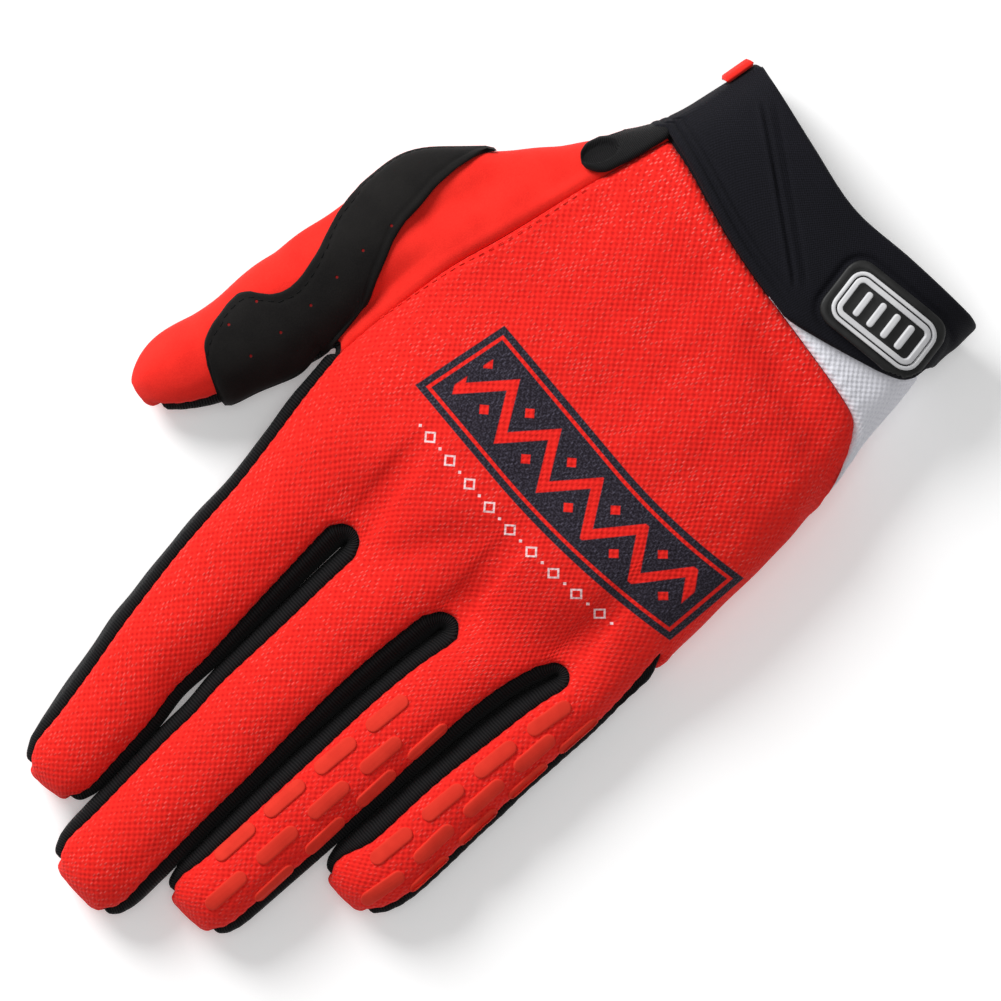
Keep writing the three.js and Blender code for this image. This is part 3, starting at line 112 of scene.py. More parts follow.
# Lines that neighbouring digits share
INDEX_MIDDLE_LINE = table(
    "along across",
    (0, 0.046), (0.13, 0.04), (0.38, 0.025), (0.55, 0.013), (0.7, -0.006), (1, -0.036),
    (1.25, -0.06),
)
MIDDLE_RING_LINE = table(
    "along across",
    (0, -0.243), (0.17, -0.235), (0.53, -0.242), (0.77, -0.255), (1, -0.272), (1.25, -0.286),
)
RING_LITTLE_LINE = table(
    "along across",
    (0, -0.498), (0.1, -0.473), (0.25, -0.458), (0.55, -0.456), (1, -0.462), (1.6, -0.471),
)
INDEX_OUTER_LINE = table(
    "along across",
    (0, 0.395), (0.04, 0.393), (0.12, 0.377), (0.22, 0.354), (0.31, 0.332), (0.41, 0.316),
    (0.5, 0.301), (0.66, 0.263), (0.77, 0.232), (0.92, 0.186), (1.05, 0.136),
)
LITTLE_OUTER_LINE = table(
    "along across",
    (-0.1, -0.632), (0.1, -0.64), (0.4, -0.649), (0.62, -0.657), (0.77, -0.665), (0.88, -0.664),
    (1.05, -0.66),
)
THUMB_INNER_LINE = table(
    "along across",
    (0, 0.399), (0.1, 0.4), (0.2, 0.407), (0.34, 0.424), (0.47, 0.44), (0.6, 0.454),
    (0.73, 0.471), (1, 0.51),
)
THUMB_OUTER_LINE = table(
    "along across",
    (-0.2, 0.645), (0, 0.658), (0.15, 0.66), (0.35, 0.655), (0.5, 0.66), (0.68, 0.683), (1, 0.7),
)

# Across each digit: left and right are the top panel's edges as shares of the half width
INDEX_SECTIONS = table(
    "along left right height",
    (0, 0.7, 0.88, 1), (0.25, 0.78, 0.85, 0.98), (0.5, 0.88, 0.8, 0.95), (0.75, 0.9, 0.75, 0.93),
    (1, 0.93, 0.79, 0.9),
)
MIDDLE_SECTIONS = table(
    "along left right height",
    (0, 0.72, 0.8, 1), (0.25, 0.72, 0.78, 1), (0.5, 0.84, 0.83, 0.97), (0.75, 0.85, 0.85, 0.95),
    (1, 0.85, 0.84, 0.92),
)
RING_SECTIONS = table(
    "along left right height",
    (0, 0.72, 0.72, 1), (0.25, 0.8, 0.76, 0.98), (0.5, 0.91, 0.7, 0.95), (0.75, 0.93, 0.72, 0.93),
    (1, 0.86, 0.78, 0.9),
)
LITTLE_SECTIONS = table(
    "along left right height",
    (0, 0.97, 0.55, 0.95), (0.25, 0.94, 0.5, 0.93), (0.5, 0.96, 0.6, 0.92), (0.75, 0.96, 0.56, 0.9),
    (1, 0.92, 0.56, 0.87),
)
THUMB_SECTIONS = table(
    "along left right height",
    (0, 0.85, 0.85, 1), (0.5, 0.87, 0.85, 0.98), (1, 0.85, 0.85, 0.9),
)
CROTCH_LEVEL = {"thumb": -0.035, "index_middle": 0.241, "middle_ring": 0.196, "ring_little": 0.04}
TIPS = {
    "thumb": {"round": 17, "power": 2.1, "slant": -0.02},
    "index": {"round": 10, "power": 2.6, "slant": 0.035},
    "middle": {"round": 11, "power": 2.8, "slant": 0.005},
    "ring": {"round": 10, "power": 2.8, "slant": 0.02},
    "little": {"round": 11, "power": 2.5, "slant": 0.02},
}

# Edges of the wrist's pieces
BACK_HEM = table(
    "across along",
    (-0.545, -0.81), (-0.525, -0.875), (-0.5, -0.935), (-0.475, -0.962), (-0.4, -0.976),
    (-0.2, -0.993), (-0.1, -1.0), (0, -1.013), (0.1, -1.035), (0.2, -1.06), (0.3, -1.076),
)
SIDE_HEM = -0.69
PALM_HEM = -1.0
THUMB_HEM = -1.05
GUSSET_FOOT = -1.19
CUFF_END = table("across rise", (-0.5, 0), (-0.3, 0.08), (-0.12, 0.16), (0.06, 0.1), (0.28, 0))
PALM_CUFF_RISE = 5

HAND_POWER = 2.6
DIGIT_POWER = 2.3
UNDER_POWER = 3.5
ROUND_POWER = 2
TOP_INSET = 2.2
UNDER_INSET = 5
DIGIT_UNDER_EDGE = 0.78
KNUCKLE_FADE = 26
CROTCH_FADE = 40
TIP_END_SHARE = 0.985
TIP_END_HEIGHT = 0.5
TIP_EDGE = 0.96
TIP_TAPER = 1.3
TIP_TAPER_STOP = 0.2
SIDE_TURN = radians(65)
SEAM_FLANK = 1.2
UNDER_SEAM_SHIFT = 2
WRIST_INSET = 1
GUSSET_LEAST = 3

wrist_level = -HAND_LENGTH
cuff_end_level = wrist_level - CUFF_LENGTH


def sample(rows, key, place, at):
    """Smooth curve through a table's rows."""
    last = len(rows) - 1
    row = 0
    while row < last - 1 and rows[row + 1][place] < at:
        row += 1

    def slope(k):
        a = rows[max(k - 1, 0)]
        b = rows[min(k + 1, last)]
        return (b[key] - a[key]) / (b[place] - a[place])

    start = rows[row]
    stop = rows[row + 1]
    span = stop[place] - start[place]
    t = (at - start[place]) / span
    if t < 0:
        return start[key] + slope(row) * (at - start[place])
    if t > 1:
        return stop[key] + slope(row + 1) * (at - stop[place])
    t2 = t * t
    t3 = t2 * t
    ends = (2 * t3 - 3 * t2 + 1) * start[key] + (3 * t2 - 2 * t3) * stop[key]
    return ends + (t3 - 2 * t2 + t) * span * slope(row) + (t3 - t2) * span * slope(row + 1)


def outline(rows, y):
    return HAND_WIDTH * sample(rows, "across", "along", y / HAND_LENGTH)


def smooth_step(t):
    c = min(max(t, 0), 1)
    return c * c * (3 - 2 * c)


def lerp(a, b, t):
    return a + (b - a) * t


def arch(across, power):
    """Height of a rounded section: 1 in its middle, 0 at its edges."""
    return (1 - min(abs(across), 1) ** power) ** (1 / power)


crotch = {name: share * HAND_LENGTH for name, share in CROTCH_LEVEL.items()}
half_step = (crotch["middle_ring"] - crotch["index_middle"]) / 2
ring_step = (crotch["middle_ring"] - crotch["ring_little"]) / 2
tip_level = {
    "thumb": crotch["thumb"] + LENGTHS["thumb"],
    "index": crotch["index_middle"] + LENGTHS["index"],
    "middle": crotch["index_middle"] + LENGTHS["middle"] + half_step,
    "ring": crotch["middle_ring"] + LENGTHS["ring"] - ring_step,
    "little": crotch["ring_little"] + LENGTHS["little"],
}


def shared_line(rows, level, tip, shift=0):
    def line(y):
        return HAND_WIDTH * sample(rows, "across", "along", (y - level) / (tip - level)) + shift

    return line


def finger_line(name, side=0):
    """Line between two fingers, moved by half the gap to one side."""
    lens = LENS_WIDTH if name == "index_middle" else 0
    rows, tip = {
        "index_middle": (INDEX_MIDDLE_LINE, "index"),
        "middle_ring": (MIDDLE_RING_LINE, "ring"),
        "ring_little": (RING_LITTLE_LINE, "little"),
    }[name]
    middle = shared_line(rows, crotch[name], tip_level[tip])

    def line(y):
        gap = FINGER_GAP + lens * exp(-((y - LENS_LEVEL) / LENS_REACH) ** 2)
        return middle(y) + side * gap / 2

    return line


little_outer = shared_line(LITTLE_OUTER_LINE, 0, tip_level["little"])
index_outer = shared_line(INDEX_OUTER_LINE, crotch["thumb"], tip_level["index"])
thumb_inner = shared_line(THUMB_INNER_LINE, crotch["thumb"], tip_level["thumb"])
thumb_outer = shared_line(THUMB_OUTER_LINE, crotch["thumb"], tip_level["thumb"])
low_base = crotch["ring_little"] + CROTCH_RADIUS
middle_base = crotch["middle_ring"] + CROTCH_RADIUS
index_base = crotch["index_middle"] + CROTCH_RADIUS
DIGITS = {
    "little": {"left": little_outer, "right": finger_line("ring_little", -1),
               "base": (crotch["ring_little"], low_base), "table": LITTLE_SECTIONS},
    "ring": {"left": finger_line("ring_little", 1), "right": finger_line("middle_ring", -1),
             "base": (low_base, middle_base), "table": RING_SECTIONS},
    "middle": {"left": finger_line("middle_ring", 1), "right": finger_line("index_middle", -1),
               "base": (middle_base, index_base), "table": MIDDLE_SECTIONS},
    "index": {"left": finger_line("index_middle", 1), "right": index_outer,
              "base": (index_base, crotch["index_middle"]), "table": INDEX_SECTIONS},
    "thumb": {"left": thumb_inner, "right": thumb_outer,
              "base": (crotch["thumb"] + THUMB_CROTCH_RADIUS, crotch["thumb"] - THUMB_BASE_DROP),
              "table": THUMB_SECTIONS},
}
FINGER_ORDER = ["little", "ring", "middle", "index"]
for name, digit in DIGITS.items():
    digit["tall"] = THUMB_HEIGHT if name == "thumb" else FINGER_HEIGHT
    digit["long"] = tip_level[name] - sum(digit["base"]) / 2


def digit_section(name, s):
    """Section of a digit at share s of its length."""
    digit = DIGITS[name]
    tip = TIPS[name]
    rise = tip["slant"] * HAND_WIDTH / 2
    y_left = lerp(digit["base"][0], tip_level[name] - rise, s)
    y_right = lerp(digit["base"][1], tip_level[name] + rise, s)
    rounding = tip["round"] / digit["long"]
    into = max(0, (s - (1 - rounding)) / rounding)
    taper = smooth_step((s - 1 + TIP_TAPER * rounding) / ((TIP_TAPER - TIP_TAPER_STOP) * rounding))
    return {
        "left": Vector((digit["left"](y_left), y_left)),
        "right": Vector((digit["right"](y_right), y_right)),
        "shrink": arch(into * TIP_END_SHARE, tip["power"]),
        "lower": max(arch(into, ROUND_POWER), TIP_END_HEIGHT / digit["tall"]),
        "left_edge": lerp(sample(digit["table"], "left", "along", s), TIP_EDGE, taper),
        "right_edge": lerp(sample(digit["table"], "right", "along", s), TIP_EDGE, taper),
        "tall": digit["tall"] * sample(digit["table"], "height", "along", s),
    }


def digit_stations(name):
    start = 1 - TIPS[name]["round"] / DIGITS[name]["long"]
    stations = [start * k / FINGER_BANDS for k in range(FINGER_BANDS)]
    return stations + [lerp(start, 1, sin(k / TIP_BANDS * pi / 2)) for k in range(TIP_BANDS + 1)]


def digit_point(section, across, under):
    """Point of a digit's section, from -1 at its left to 1 at its right."""
    edge = section["tall"] * EDGE_SHARE
    middle = (section["left"] + section["right"]) / 2
    side = (section["right"] - section["left"]) / 2
    plan = middle + side * across * section["shrink"]
    if under:
        z = max(0, edge - (edge + UNDERSIDE_FLAT) * arch(across, UNDER_POWER) * section["lower"])
    else:
        z = edge + (section["tall"] - edge) * arch(across, DIGIT_POWER) * section["lower"]
    return Vector((plan.x, plan.y, z))


def side_wall(top, flank, under):
    """Points down a side wall, from the top edge over the flank to the underside's edge."""
    points = []
    for k in range(SIDE_FACES + 1):
        t = 1 - 2 * k / SIDE_FACES
        end = top if t > 0 else under
        turn = abs(t) * SIDE_TURN
        into = (1 - cos(turn)) / (1 - cos(SIDE_TURN))
        rise = sin(turn) / sin(SIDE_TURN)
        x = lerp(flank.x, end.x, into)
        points.append(Vector((x, lerp(flank.y, end.y, rise), lerp(flank.z, end.z, rise))))
    return points


def hand_tall(y):
    return HAND_HEIGHT * sample(HAND_PROFILE, "height", "along", y / HAND_LENGTH)


def hand_height(x, y, left, right, under):
    """Height of the hand's section at a place between two plan edges."""
    tall = hand_tall(y)
    edge = tall * EDGE_SHARE
    across = (x - (left + right) / 2) / ((right - left) / 2)
    if under:
        return max(0, edge - (edge + UNDERSIDE_FLAT) * arch(across, UNDER_POWER))
    return edge + (tall - edge) * arch(across, HAND_POWER)


# The skin: one surface whose faces carry the name of their piece and a cloth place in millimetres
skin_points = []
skin_faces = []


def add_point(point):
    skin_points.append(point)
    return len(skin_points) - 1


def add_band(lower, upper, piece_at, cloth_at):
    """Faces between two rows of point numbers; cloth_at gives u and v for a row and a column."""
    for k in range(len(lower) - 1):
        corners = (lower[k], lower[k + 1], upper[k + 1], upper[k])
        cloth = (cloth_at(0, k), cloth_at(0, k + 1), cloth_at(1, k + 1), cloth_at(1, k))
        skin_faces.append((piece_at(k), corners, cloth))


def crotch_arc(start, stop, drop):
    """Points round a crotch in plan, from one digit's edge to the next one's."""
    points = []
    for k in range(GAP_FACES + 1):
        share = k / GAP_FACES
        x = lerp(start.x, stop.x, (1 - cos(share * pi)) / 2)
        y = lerp(start.y, stop.y, share) - drop * sin(share * pi)
        points.append(Vector((x, y, lerp(start.z, stop.z, share))))
    return points


def digit_row(name, s, under):
    section = digit_section(name, s)
    count = DIGIT_BOTTOM_FACES if under else DIGIT_TOP_FACES
    start = -DIGIT_UNDER_EDGE if under else -section["left_edge"]
    stop = DIGIT_UNDER_EDGE if under else section["right_edge"]
    return [digit_point(section, lerp(start, stop, k / count), under) for k in range(count + 1)]


def knuckle_row(under):
    """Last row of the hand: the finger bases and the crotches between them."""
    row = []
    for name in FINGER_ORDER:
        points = digit_row(name, 0, under)
        if row:
            row += crotch_arc(row[-1], points[0], CROTCH_RADIUS)[1:-1]
        row += points
    return row


gusset_row = CUFF_BANDS
hem_row = CUFF_BANDS + GUSSET_BANDS
crotch_row = hem_row + LOWER_HAND_BANDS
top_row = crotch_row + UPPER_HAND_BANDS


def row_level(row, column):
    """Level of a row of the hand's skin in a column with its own end, hem, crotch and knuckle."""
    foot = min(GUSSET_FOOT * HAND_LENGTH, column["hem"] - GUSSET_LEAST)
    if row <= gusset_row:
        return lerp(column["end"], foot, row / CUFF_BANDS)
    if row <= hem_row:
        return lerp(foot, column["hem"], (row - gusset_row) / GUSSET_BANDS)
    if row <= crotch_row:
        return lerp(column["hem"], column["crotch"], (row - hem_row) / LOWER_HAND_BANDS)
    return lerp(column["crotch"], column["knuckle"], (row - crotch_row) / UPPER_HAND_BANDS)


def lower_share(hem, knuckle):
    return lerp(hem, knuckle, LOWER_HAND_BANDS / (LOWER_HAND_BANDS + UPPER_HAND_BANDS))


def cuff_end_at(x, under):
    if under:
        return cuff_end_level + PALM_CUFF_RISE
    return cuff_end_level + CUFF_LENGTH * sample(CUFF_END, "rise", "across", x / HAND_WIDTH)


def hand_sheet(under):
    """The hand's top sheet or underside: rows of points over the fingers' columns."""
    knuckles = knuckle_row(under)
    inset = UNDER_INSET if under else TOP_INSET
    first = knuckles[0]
    last = knuckles[-1]

    def left_at(y):
        return outline(LITTLE_EDGE, y) + inset

    def seam_at(y):
        return outline(BACK_SEAM, y) - (UNDER_SEAM_SHIFT if under else 0)

    columns = []
    for knuckle in knuckles:
        share = (knuckle.x - first.x) / (last.x - first.x)
        wrist_x = lerp(left_at(wrist_level), seam_at(wrist_level), share)
        hem = PALM_HEM if under else sample(BACK_HEM, "along", "across", wrist_x / HAND_WIDTH)
        hem *= HAND_LENGTH
        level = lerp(lower_share(hem, knuckle.y), crotch["thumb"], smooth_step(share))
        columns.append({"share": share, "hem": hem, "end": cuff_end_at(wrist_x, under),
                        "crotch": level, "knuckle": knuckle.y, "point": knuckle})
    rows = []
    for row in range(top_row + 1):
        seam_y = row_level(row, columns[-1])
        split = 1 if row > crotch_row else smooth_step(1 - (crotch["thumb"] - seam_y) / CROTCH_FADE)
        upper = smooth_step((row - crotch_row) / UPPER_HAND_BANDS)
        points = []
        for column in columns:
            if row == top_row:
                points.append(column["point"].copy())
                continue
            y = row_level(row, column)
            fade = smooth_step(1 - (column["knuckle"] - y) / KNUCKLE_FADE)
            left = left_at(y) + (first.x - left_at(first.y)) * fade
            right = seam_at(y) + (last.x - seam_at(last.y)) * upper
            x = lerp(left, right, column["share"])
            outer = outline(LITTLE_EDGE, y)
            wide = hand_height(x, y, outer, outline(THUMB_OUTLINE, min(y, crotch["thumb"])), under)
            flank = max(outline(BACK_SEAM, y) + SEAM_FLANK, 0 if row < crotch_row else index_outer(y))
            narrow = hand_height(x, y, outer, flank, under)
            height = lerp(lerp(wide, narrow, split), column["point"].z, fade)
            points.append(Vector((x, y, height)))
        rows.append(points)
    return rows


def thumb_sheet(under, hand_rows):
    """The thumb's part of the hand below its crotch, from beside the seam to the outer edge."""
    base = digit_row("thumb", 0, under)
    outer = base[-1]
    inset = UNDER_INSET if under else TOP_INSET
    seams = [row[-1] for row in hand_rows]
    ends = crotch_arc(seams[crotch_row], base[0], THUMB_CROTCH_RADIUS)[1:-1] + base
    column = {"hem": THUMB_HEM * HAND_LENGTH, "end": cuff_end_level, "crotch": outer.y,
              "knuckle": outer.y}
    rows = []
    for row in range(crotch_row + 1):
        seam = seams[row]
        outer_y = row_level(row, column)
        level = max(0, (row - hem_row) / LOWER_HAND_BANDS)
        outer_x = outline(THUMB_OUTLINE, outer_y) - lerp(WRIST_INSET, inset, level)
        points = []
        for order, end in enumerate(ends):
            if row == crotch_row:
                points.append(end.copy())
                continue
            even = (order + 1) / len(ends)
            spread = (end.x - seams[crotch_row].x) / (outer.x - seams[crotch_row].x)
            x = lerp(seam.x, outer_x, lerp(even, spread, smooth_step(level)))
            y = lerp(seam.y, outer_y, even)
            near = smooth_step(1 - (crotch["thumb"] - seam.y) / CROTCH_FADE)
            wide = hand_height(x, y, outline(LITTLE_EDGE, y), outline(THUMB_OUTLINE, y), under)
            points.append(Vector((x, y, max(0, lerp(wide, end.z, near)))))
        rows.append(points)
    return rows


def arcs(points):
    """Distances along a row of points."""
    total = [0.0]
    for a, b in zip(points, points[1:]):
        total.append(total[-1] + (b - a).length)
    return total


def plan_cloth(points):
    """Cloth places of a row that lies flat."""
    return [(p.x, p.y) for p in points]


# Point numbers and cloth places of every sheet
step_top = DIGIT_TOP_FACES + GAP_FACES
step_under = DIGIT_BOTTOM_FACES + GAP_FACES
GRAIN_COLUMN = 2 * step_top + 2
top_hand = hand_sheet(False)
under_hand = hand_sheet(True)
top_thumb = thumb_sheet(False, top_hand)
under_thumb = thumb_sheet(True, under_hand)


def number(rows):
    return [[add_point(point) for point in row] for row in rows]


top = number(top_hand)
under = number(under_hand)
top_base = [[top[k][-1]] + row for k, row in enumerate(number(top_thumb))]
under_base = [[under[k][-1]] + row for k, row in enumerate(number(under_thumb))]

top_cloth = []
for row in top_hand:
    along = arcs(row)
    grain = row[GRAIN_COLUMN].x - along[GRAIN_COLUMN]
    top_cloth.append([(grain + u, p.y) for u, p in zip(along, row)])
thumb_cloth = []
for k, row in enumerate(top_base):
    points = [skin_points[n] for n in row]
    start = top_cloth[k][-1][0]
    thumb_cloth.append([(start + u, p.y) for u, p in zip(arcs(points), points)])


def wall_numbers(top_number, flank, under_number):
    """Point numbers down a wall whose ends belong to the top sheet and the underside."""
    points = side_wall(skin_points[top_number], flank, skin_points[under_number])
    return [top_number] + [add_point(p) for p in points[1:-1]] + [under_number]


def wall_cloth(numbers, place, sign):
    """Cloth places down a wall, going on from the top sheet's edge."""
    points = [skin_points[n] for n in numbers]
    return [(place[0] + sign * u, place[1]) for u in arcs(points)]


def digit_flank(section, sign):
    return digit_point(section, sign, False)


little_side = []
for row in range(top_row + 1):
    hem = SIDE_HEM * HAND_LENGTH
    knuckle = crotch["ring_little"]
    column = {"hem": hem, "end": cuff_end_level, "crotch": lower_share(hem, knuckle), "knuckle": knuckle}
    y = row_level(row, column)
    flank = Vector((outline(LITTLE_EDGE, y), y, hand_tall(y) * EDGE_SHARE))
    if row == top_row:
        flank = digit_flank(digit_section("little", 0), -1)
    little_side.append(wall_numbers(top[row][0], flank, under[row][0]))

thumb_base_side = []
for row in range(crotch_row + 1):
    column = {"hem": THUMB_HEM * HAND_LENGTH, "end": cuff_end_level,
              "crotch": DIGITS["thumb"]["base"][1], "knuckle": 0}
    y = row_level(row, column)
    flank = Vector((outline(THUMB_OUTLINE, y), y, hand_tall(y) * EDGE_SHARE))
    if row == crotch_row:
        flank = digit_flank(digit_section("thumb", 0), 1)
    thumb_base_side.append(wall_numbers(top_base[row][-1], flank, under_base[row][-1]))

index_base_side = []
for row in range(crotch_row, top_row + 1):
    y = (skin_points[top[row][-1]].y + skin_points[under[row][-1]].y) / 2
    flank = Vector((index_outer(y), y, hand_tall(y) * EDGE_SHARE))
    if row == top_row:
        flank = digit_flank(digit_section("index", 0), 1)
    index_base_side.append(wall_numbers(top[row][-1], flank, under[row][-1]))


def build_digit(name, base):
    """Rows of a digit: its top, underside and walls, as point numbers with their cloth places."""
    rows = [base]
    middle = sum(u for u, _ in base["cloth"]) / len(base["cloth"])
    before = [skin_points[n] for n in base["top"]]
    levels = [v for _, v in base["cloth"]]
    for s in digit_stations(name)[1:]:
        section = digit_section(name, s)
        points = digit_row(name, s, False)
        above = [add_point(p) for p in points]
        below = [add_point(p) for p in digit_row(name, s, True)]
        along = arcs(points)
        levels = [v + (p - q).length for v, p, q in zip(levels, points, before)]
        before = points
        cloth = [(middle + u - along[-1] / 2, v) for u, v in zip(along, levels)]
        left = wall_numbers(above[0], digit_flank(section, -1), below[0])
        right = wall_numbers(above[-1], digit_flank(section, 1), below[-1])
        rows.append({"top": above, "under": below, "left": left, "right": right, "cloth": cloth})
    return rows


def crotch_walls(top_numbers, under_numbers, start, stop, drop):
    """Walls of a crotch: each station goes from the top sheet to the underside."""
    flanks = crotch_arc(start, stop, drop)
    return [wall_numbers(a, f, b) for a, f, b in zip(top_numbers, flanks, under_numbers)]


digit_rows = {}
crotch_stations = {}
for order, name in enumerate(FINGER_ORDER):
    first_top = order * step_top
    first_under = order * step_under
    base = {
        "top": top[top_row][first_top:first_top + DIGIT_TOP_FACES + 1],
        "under": under[top_row][first_under:first_under + DIGIT_BOTTOM_FACES + 1],
        "cloth": top_cloth[top_row][first_top:first_top + DIGIT_TOP_FACES + 1],
        "left": little_side[top_row],
        "right": index_base_side[-1],
    }
    if order:
        before = FINGER_ORDER[order - 1]
        gap_top = top[top_row][first_top - GAP_FACES:first_top + 1]
        gap_under = under[top_row][first_under - GAP_FACES:first_under + 1]
        start = digit_flank(digit_section(before, 0), 1)
        stop = digit_flank(digit_section(name, 0), -1)
        stations = crotch_walls(gap_top, gap_under, start, stop, FINGER_GAP)
        crotch_stations[name] = stations
        digit_rows[before][0]["right"] = stations[0]
        base["left"] = stations[-1]
    digit_rows[name] = build_digit(name, base)

thumb_gap_top = top_base[crotch_row][:GAP_FACES + 1]
thumb_gap_under = under_base[crotch_row][:GAP_FACES + 1]
index_flank_level = (skin_points[thumb_gap_top[0]].y + skin_points[thumb_gap_under[0]].y) / 2
index_flank = Vector((index_outer(index_flank_level), index_flank_level,
                      hand_tall(index_flank_level) * EDGE_SHARE))
thumb_flank = digit_flank(digit_section("thumb", 0), -1)
thumb_stations = crotch_walls(thumb_gap_top, thumb_gap_under, index_flank, thumb_flank, FINGER_GAP)
thumb_stations[0] = index_base_side[0]
digit_rows["thumb"] = build_digit("thumb", {
    "top": top_base[crotch_row][GAP_FACES:],
    "under": under_base[crotch_row][GAP_FACES:],
    "cloth": thumb_cloth[crotch_row][GAP_FACES:],
    "left": thumb_stations[-1],
    "right": thumb_base_side[crotch_row],
})
crotch_stations["thumb"] = thumb_stations


def band(lower, upper, piece_at, lower_cloth=None, upper_cloth=None):
    """A band of the skin; without cloth places it takes its places in plan."""
    below = lower_cloth or plan_cloth([skin_points[n] for n in lower])
    above = upper_cloth or plan_cloth([skin_points[n] for n in upper])
    add_band(lower, upper, piece_at, lambda row, k: (above if row else below)[k])


# Faces of the hand's rows
gusset_columns = FINGER_ORDER.index("middle") * step_top
for row in range(top_row):
    in_cuff = row < gusset_row
    in_gusset = gusset_row <= row < hem_row

    def top_piece(k):
        if in_cuff or (in_gusset and k >= gusset_columns):
            return "cuff"
        return "wrist_gusset" if in_gusset else "back_panel"

    def under_piece(k):
        if in_cuff or (in_gusset and k >= DIGIT_BOTTOM_FACES):
            return "cuff"
        return "wrist_gusset" if in_gusset else "palm_panel"

    def wall_piece(k):
        if in_cuff:
            return "cuff"
        if in_gusset:
            return "wrist_gusset"
        return "little_side_strip" if row > crotch_row else "back_panel"

    band(top[row], top[row + 1], top_piece, top_cloth[row], top_cloth[row + 1])
    band(under[row + 1], under[row], under_piece)
    low = wall_cloth(little_side[row], top_cloth[row][0], -1)
    high = wall_cloth(little_side[row + 1], top_cloth[row + 1][0], -1)
    band(little_side[row + 1], little_side[row], wall_piece, high, low)
for row in range(crotch_row):
    in_cuff = row < hem_row
    upper_name = "cuff" if in_cuff else "thumb_back_panel"
    lower_name = "cuff" if in_cuff else "thumb_palm_panel"
    band(top_base[row], top_base[row + 1], lambda k: upper_name, thumb_cloth[row], thumb_cloth[row + 1])
    band(under_base[row + 1], under_base[row], lambda k: lower_name)
    low = wall_cloth(thumb_base_side[row], thumb_cloth[row][-1], 1)
    high = wall_cloth(thumb_base_side[row + 1], thumb_cloth[row + 1][-1], 1)
    band(thumb_base_side[row], thumb_base_side[row + 1], lambda k: upper_name, low, high)
for k in range(len(index_base_side) - 1):
    low = wall_cloth(index_base_side[k], top_cloth[crotch_row + k][-1], 1)
    high = wall_cloth(index_base_side[k + 1], top_cloth[crotch_row + k + 1][-1], 1)
    band(index_base_side[k], index_base_side[k + 1], lambda n: "index_side_strip", low, high)

# Faces of the digits; near the tip the walls belong to the top panel
STRIPS = {
    "little": {"left": "little_side_strip", "right": "fourchette_ring_little"},
    "ring": {"left": "fourchette_ring_little", "right": "fourchette_middle_ring"},
    "middle": {"left": "fourchette_middle_ring", "right": "fourchette_index_middle"},
    "index": {"left": "fourchette_index_middle", "right": "index_side_strip"},
    "thumb": {"left": "thumb_side_strip", "right": "thumb_back_panel"},
}
for name, rows in digit_rows.items():
    top_name = "thumb_back_panel" if name == "thumb" else "back_panel"
    under_name = "thumb_palm_panel" if name == "thumb" else "palm_panel"
    for k in range(len(rows) - 1):
        low, high = rows[k], rows[k + 1]
        at_tip = k >= FINGER_BANDS + STRIP_TIP_BANDS
        left_name = top_name if at_tip else STRIPS[name]["left"]
        right_name = top_name if at_tip else STRIPS[name]["right"]
        band(low["top"], high["top"], lambda n: top_name, low["cloth"], high["cloth"])
        band(high["under"], low["under"], lambda n: under_name)
        band(high["left"], low["left"], lambda n: left_name,
             wall_cloth(high["left"], high["cloth"][0], -1), wall_cloth(low["left"], low["cloth"][0], -1))
        band(low["right"], high["right"], lambda n: right_name,
             wall_cloth(low["right"], low["cloth"][-1], 1), wall_cloth(high["right"], high["cloth"][-1], 1))
    end = rows[-1]
    loop = end["top"] + end["right"][1:] + end["under"][:-1][::-1] + end["left"][1:-1][::-1]
    centre = sum((skin_points[n] for n in loop), Vector((0, 0, 0))) / len(loop)
    middle = add_point(centre)
    tip_u = sum(u for u, _ in end["cloth"]) / len(end["cloth"])
    tip_v = max(v for _, v in end["cloth"])
    for a, b in zip(loop, loop[1:] + loop[:1]):
        skin_faces.append((top_name, (a, b, middle), ((tip_u, tip_v),) * 3))
for name, stations in crotch_stations.items():
    piece = STRIPS[name]["left"]
    ahead = arcs([skin_points[numbers[0]] for numbers in stations])
    for k in range(len(stations) - 1):
        low = [(u, -ahead[k]) for u in arcs([skin_points[n] for n in stations[k]])]
        high = [(u, -ahead[k + 1]) for u in arcs([skin_points[n] for n in stations[k + 1]])]
        band(stations[k + 1], stations[k], lambda n: piece, high, low)

PIECES = sorted({piece for piece, _, _ in skin_faces})


def clear_selection():
    for other in bpy.context.selected_objects:
        other.select_set(False)


def make_object(name, points, faces):
    """An object at the origin from points in metres; the only one selected, and active."""
    mesh = bpy.data.meshes.new(name)
    mesh.from_pydata(points, [], faces)
    mesh.update()
    piece = bpy.data.objects.new(name, mesh)
    bpy.context.scene.collection.objects.link(piece)
    clear_selection()
    piece.select_set(True)
    bpy.context.view_layer.objects.active = piece
    return piece


def apply_modifier(piece, kind, **settings):
    modifier = piece.modifiers.new(kind.title(), kind)
    for key, value in settings.items():
        setattr(modifier, key, value)
    bpy.context.view_layer.objects.active = piece
    bpy.ops.object.modifier_apply(modifier=modifier.name)


# Fine skin, in millimetres
SUBDIVISIONS = 2
rough = make_object("skin", [tuple(p) for p in skin_points], [face for _, face, _ in skin_faces])
rough.data.polygons.foreach_set("material_index", [PIECES.index(piece) for piece, _, _ in skin_faces])
cloth_map = rough.data.uv_layers.new(name="cloth")
cloth_map.data.foreach_set("uv", [value for _, _, places in skin_faces for uv in places for value in uv])
for name in PIECES:
    rough.data.materials.append(bpy.data.materials.new(name))
apply_modifier(rough, "SUBSURF", levels=SUBDIVISIONS, render_levels=SUBDIVISIONS,
               uv_smooth="PRESERVE_BOUNDARIES")


def numbers_from(collection, key, width, kind=np.float64):
    values = np.empty(len(collection) * width, dtype=kind)
    collection.foreach_get(key, values)
    return values.reshape(-1, width) if width > 1 else values


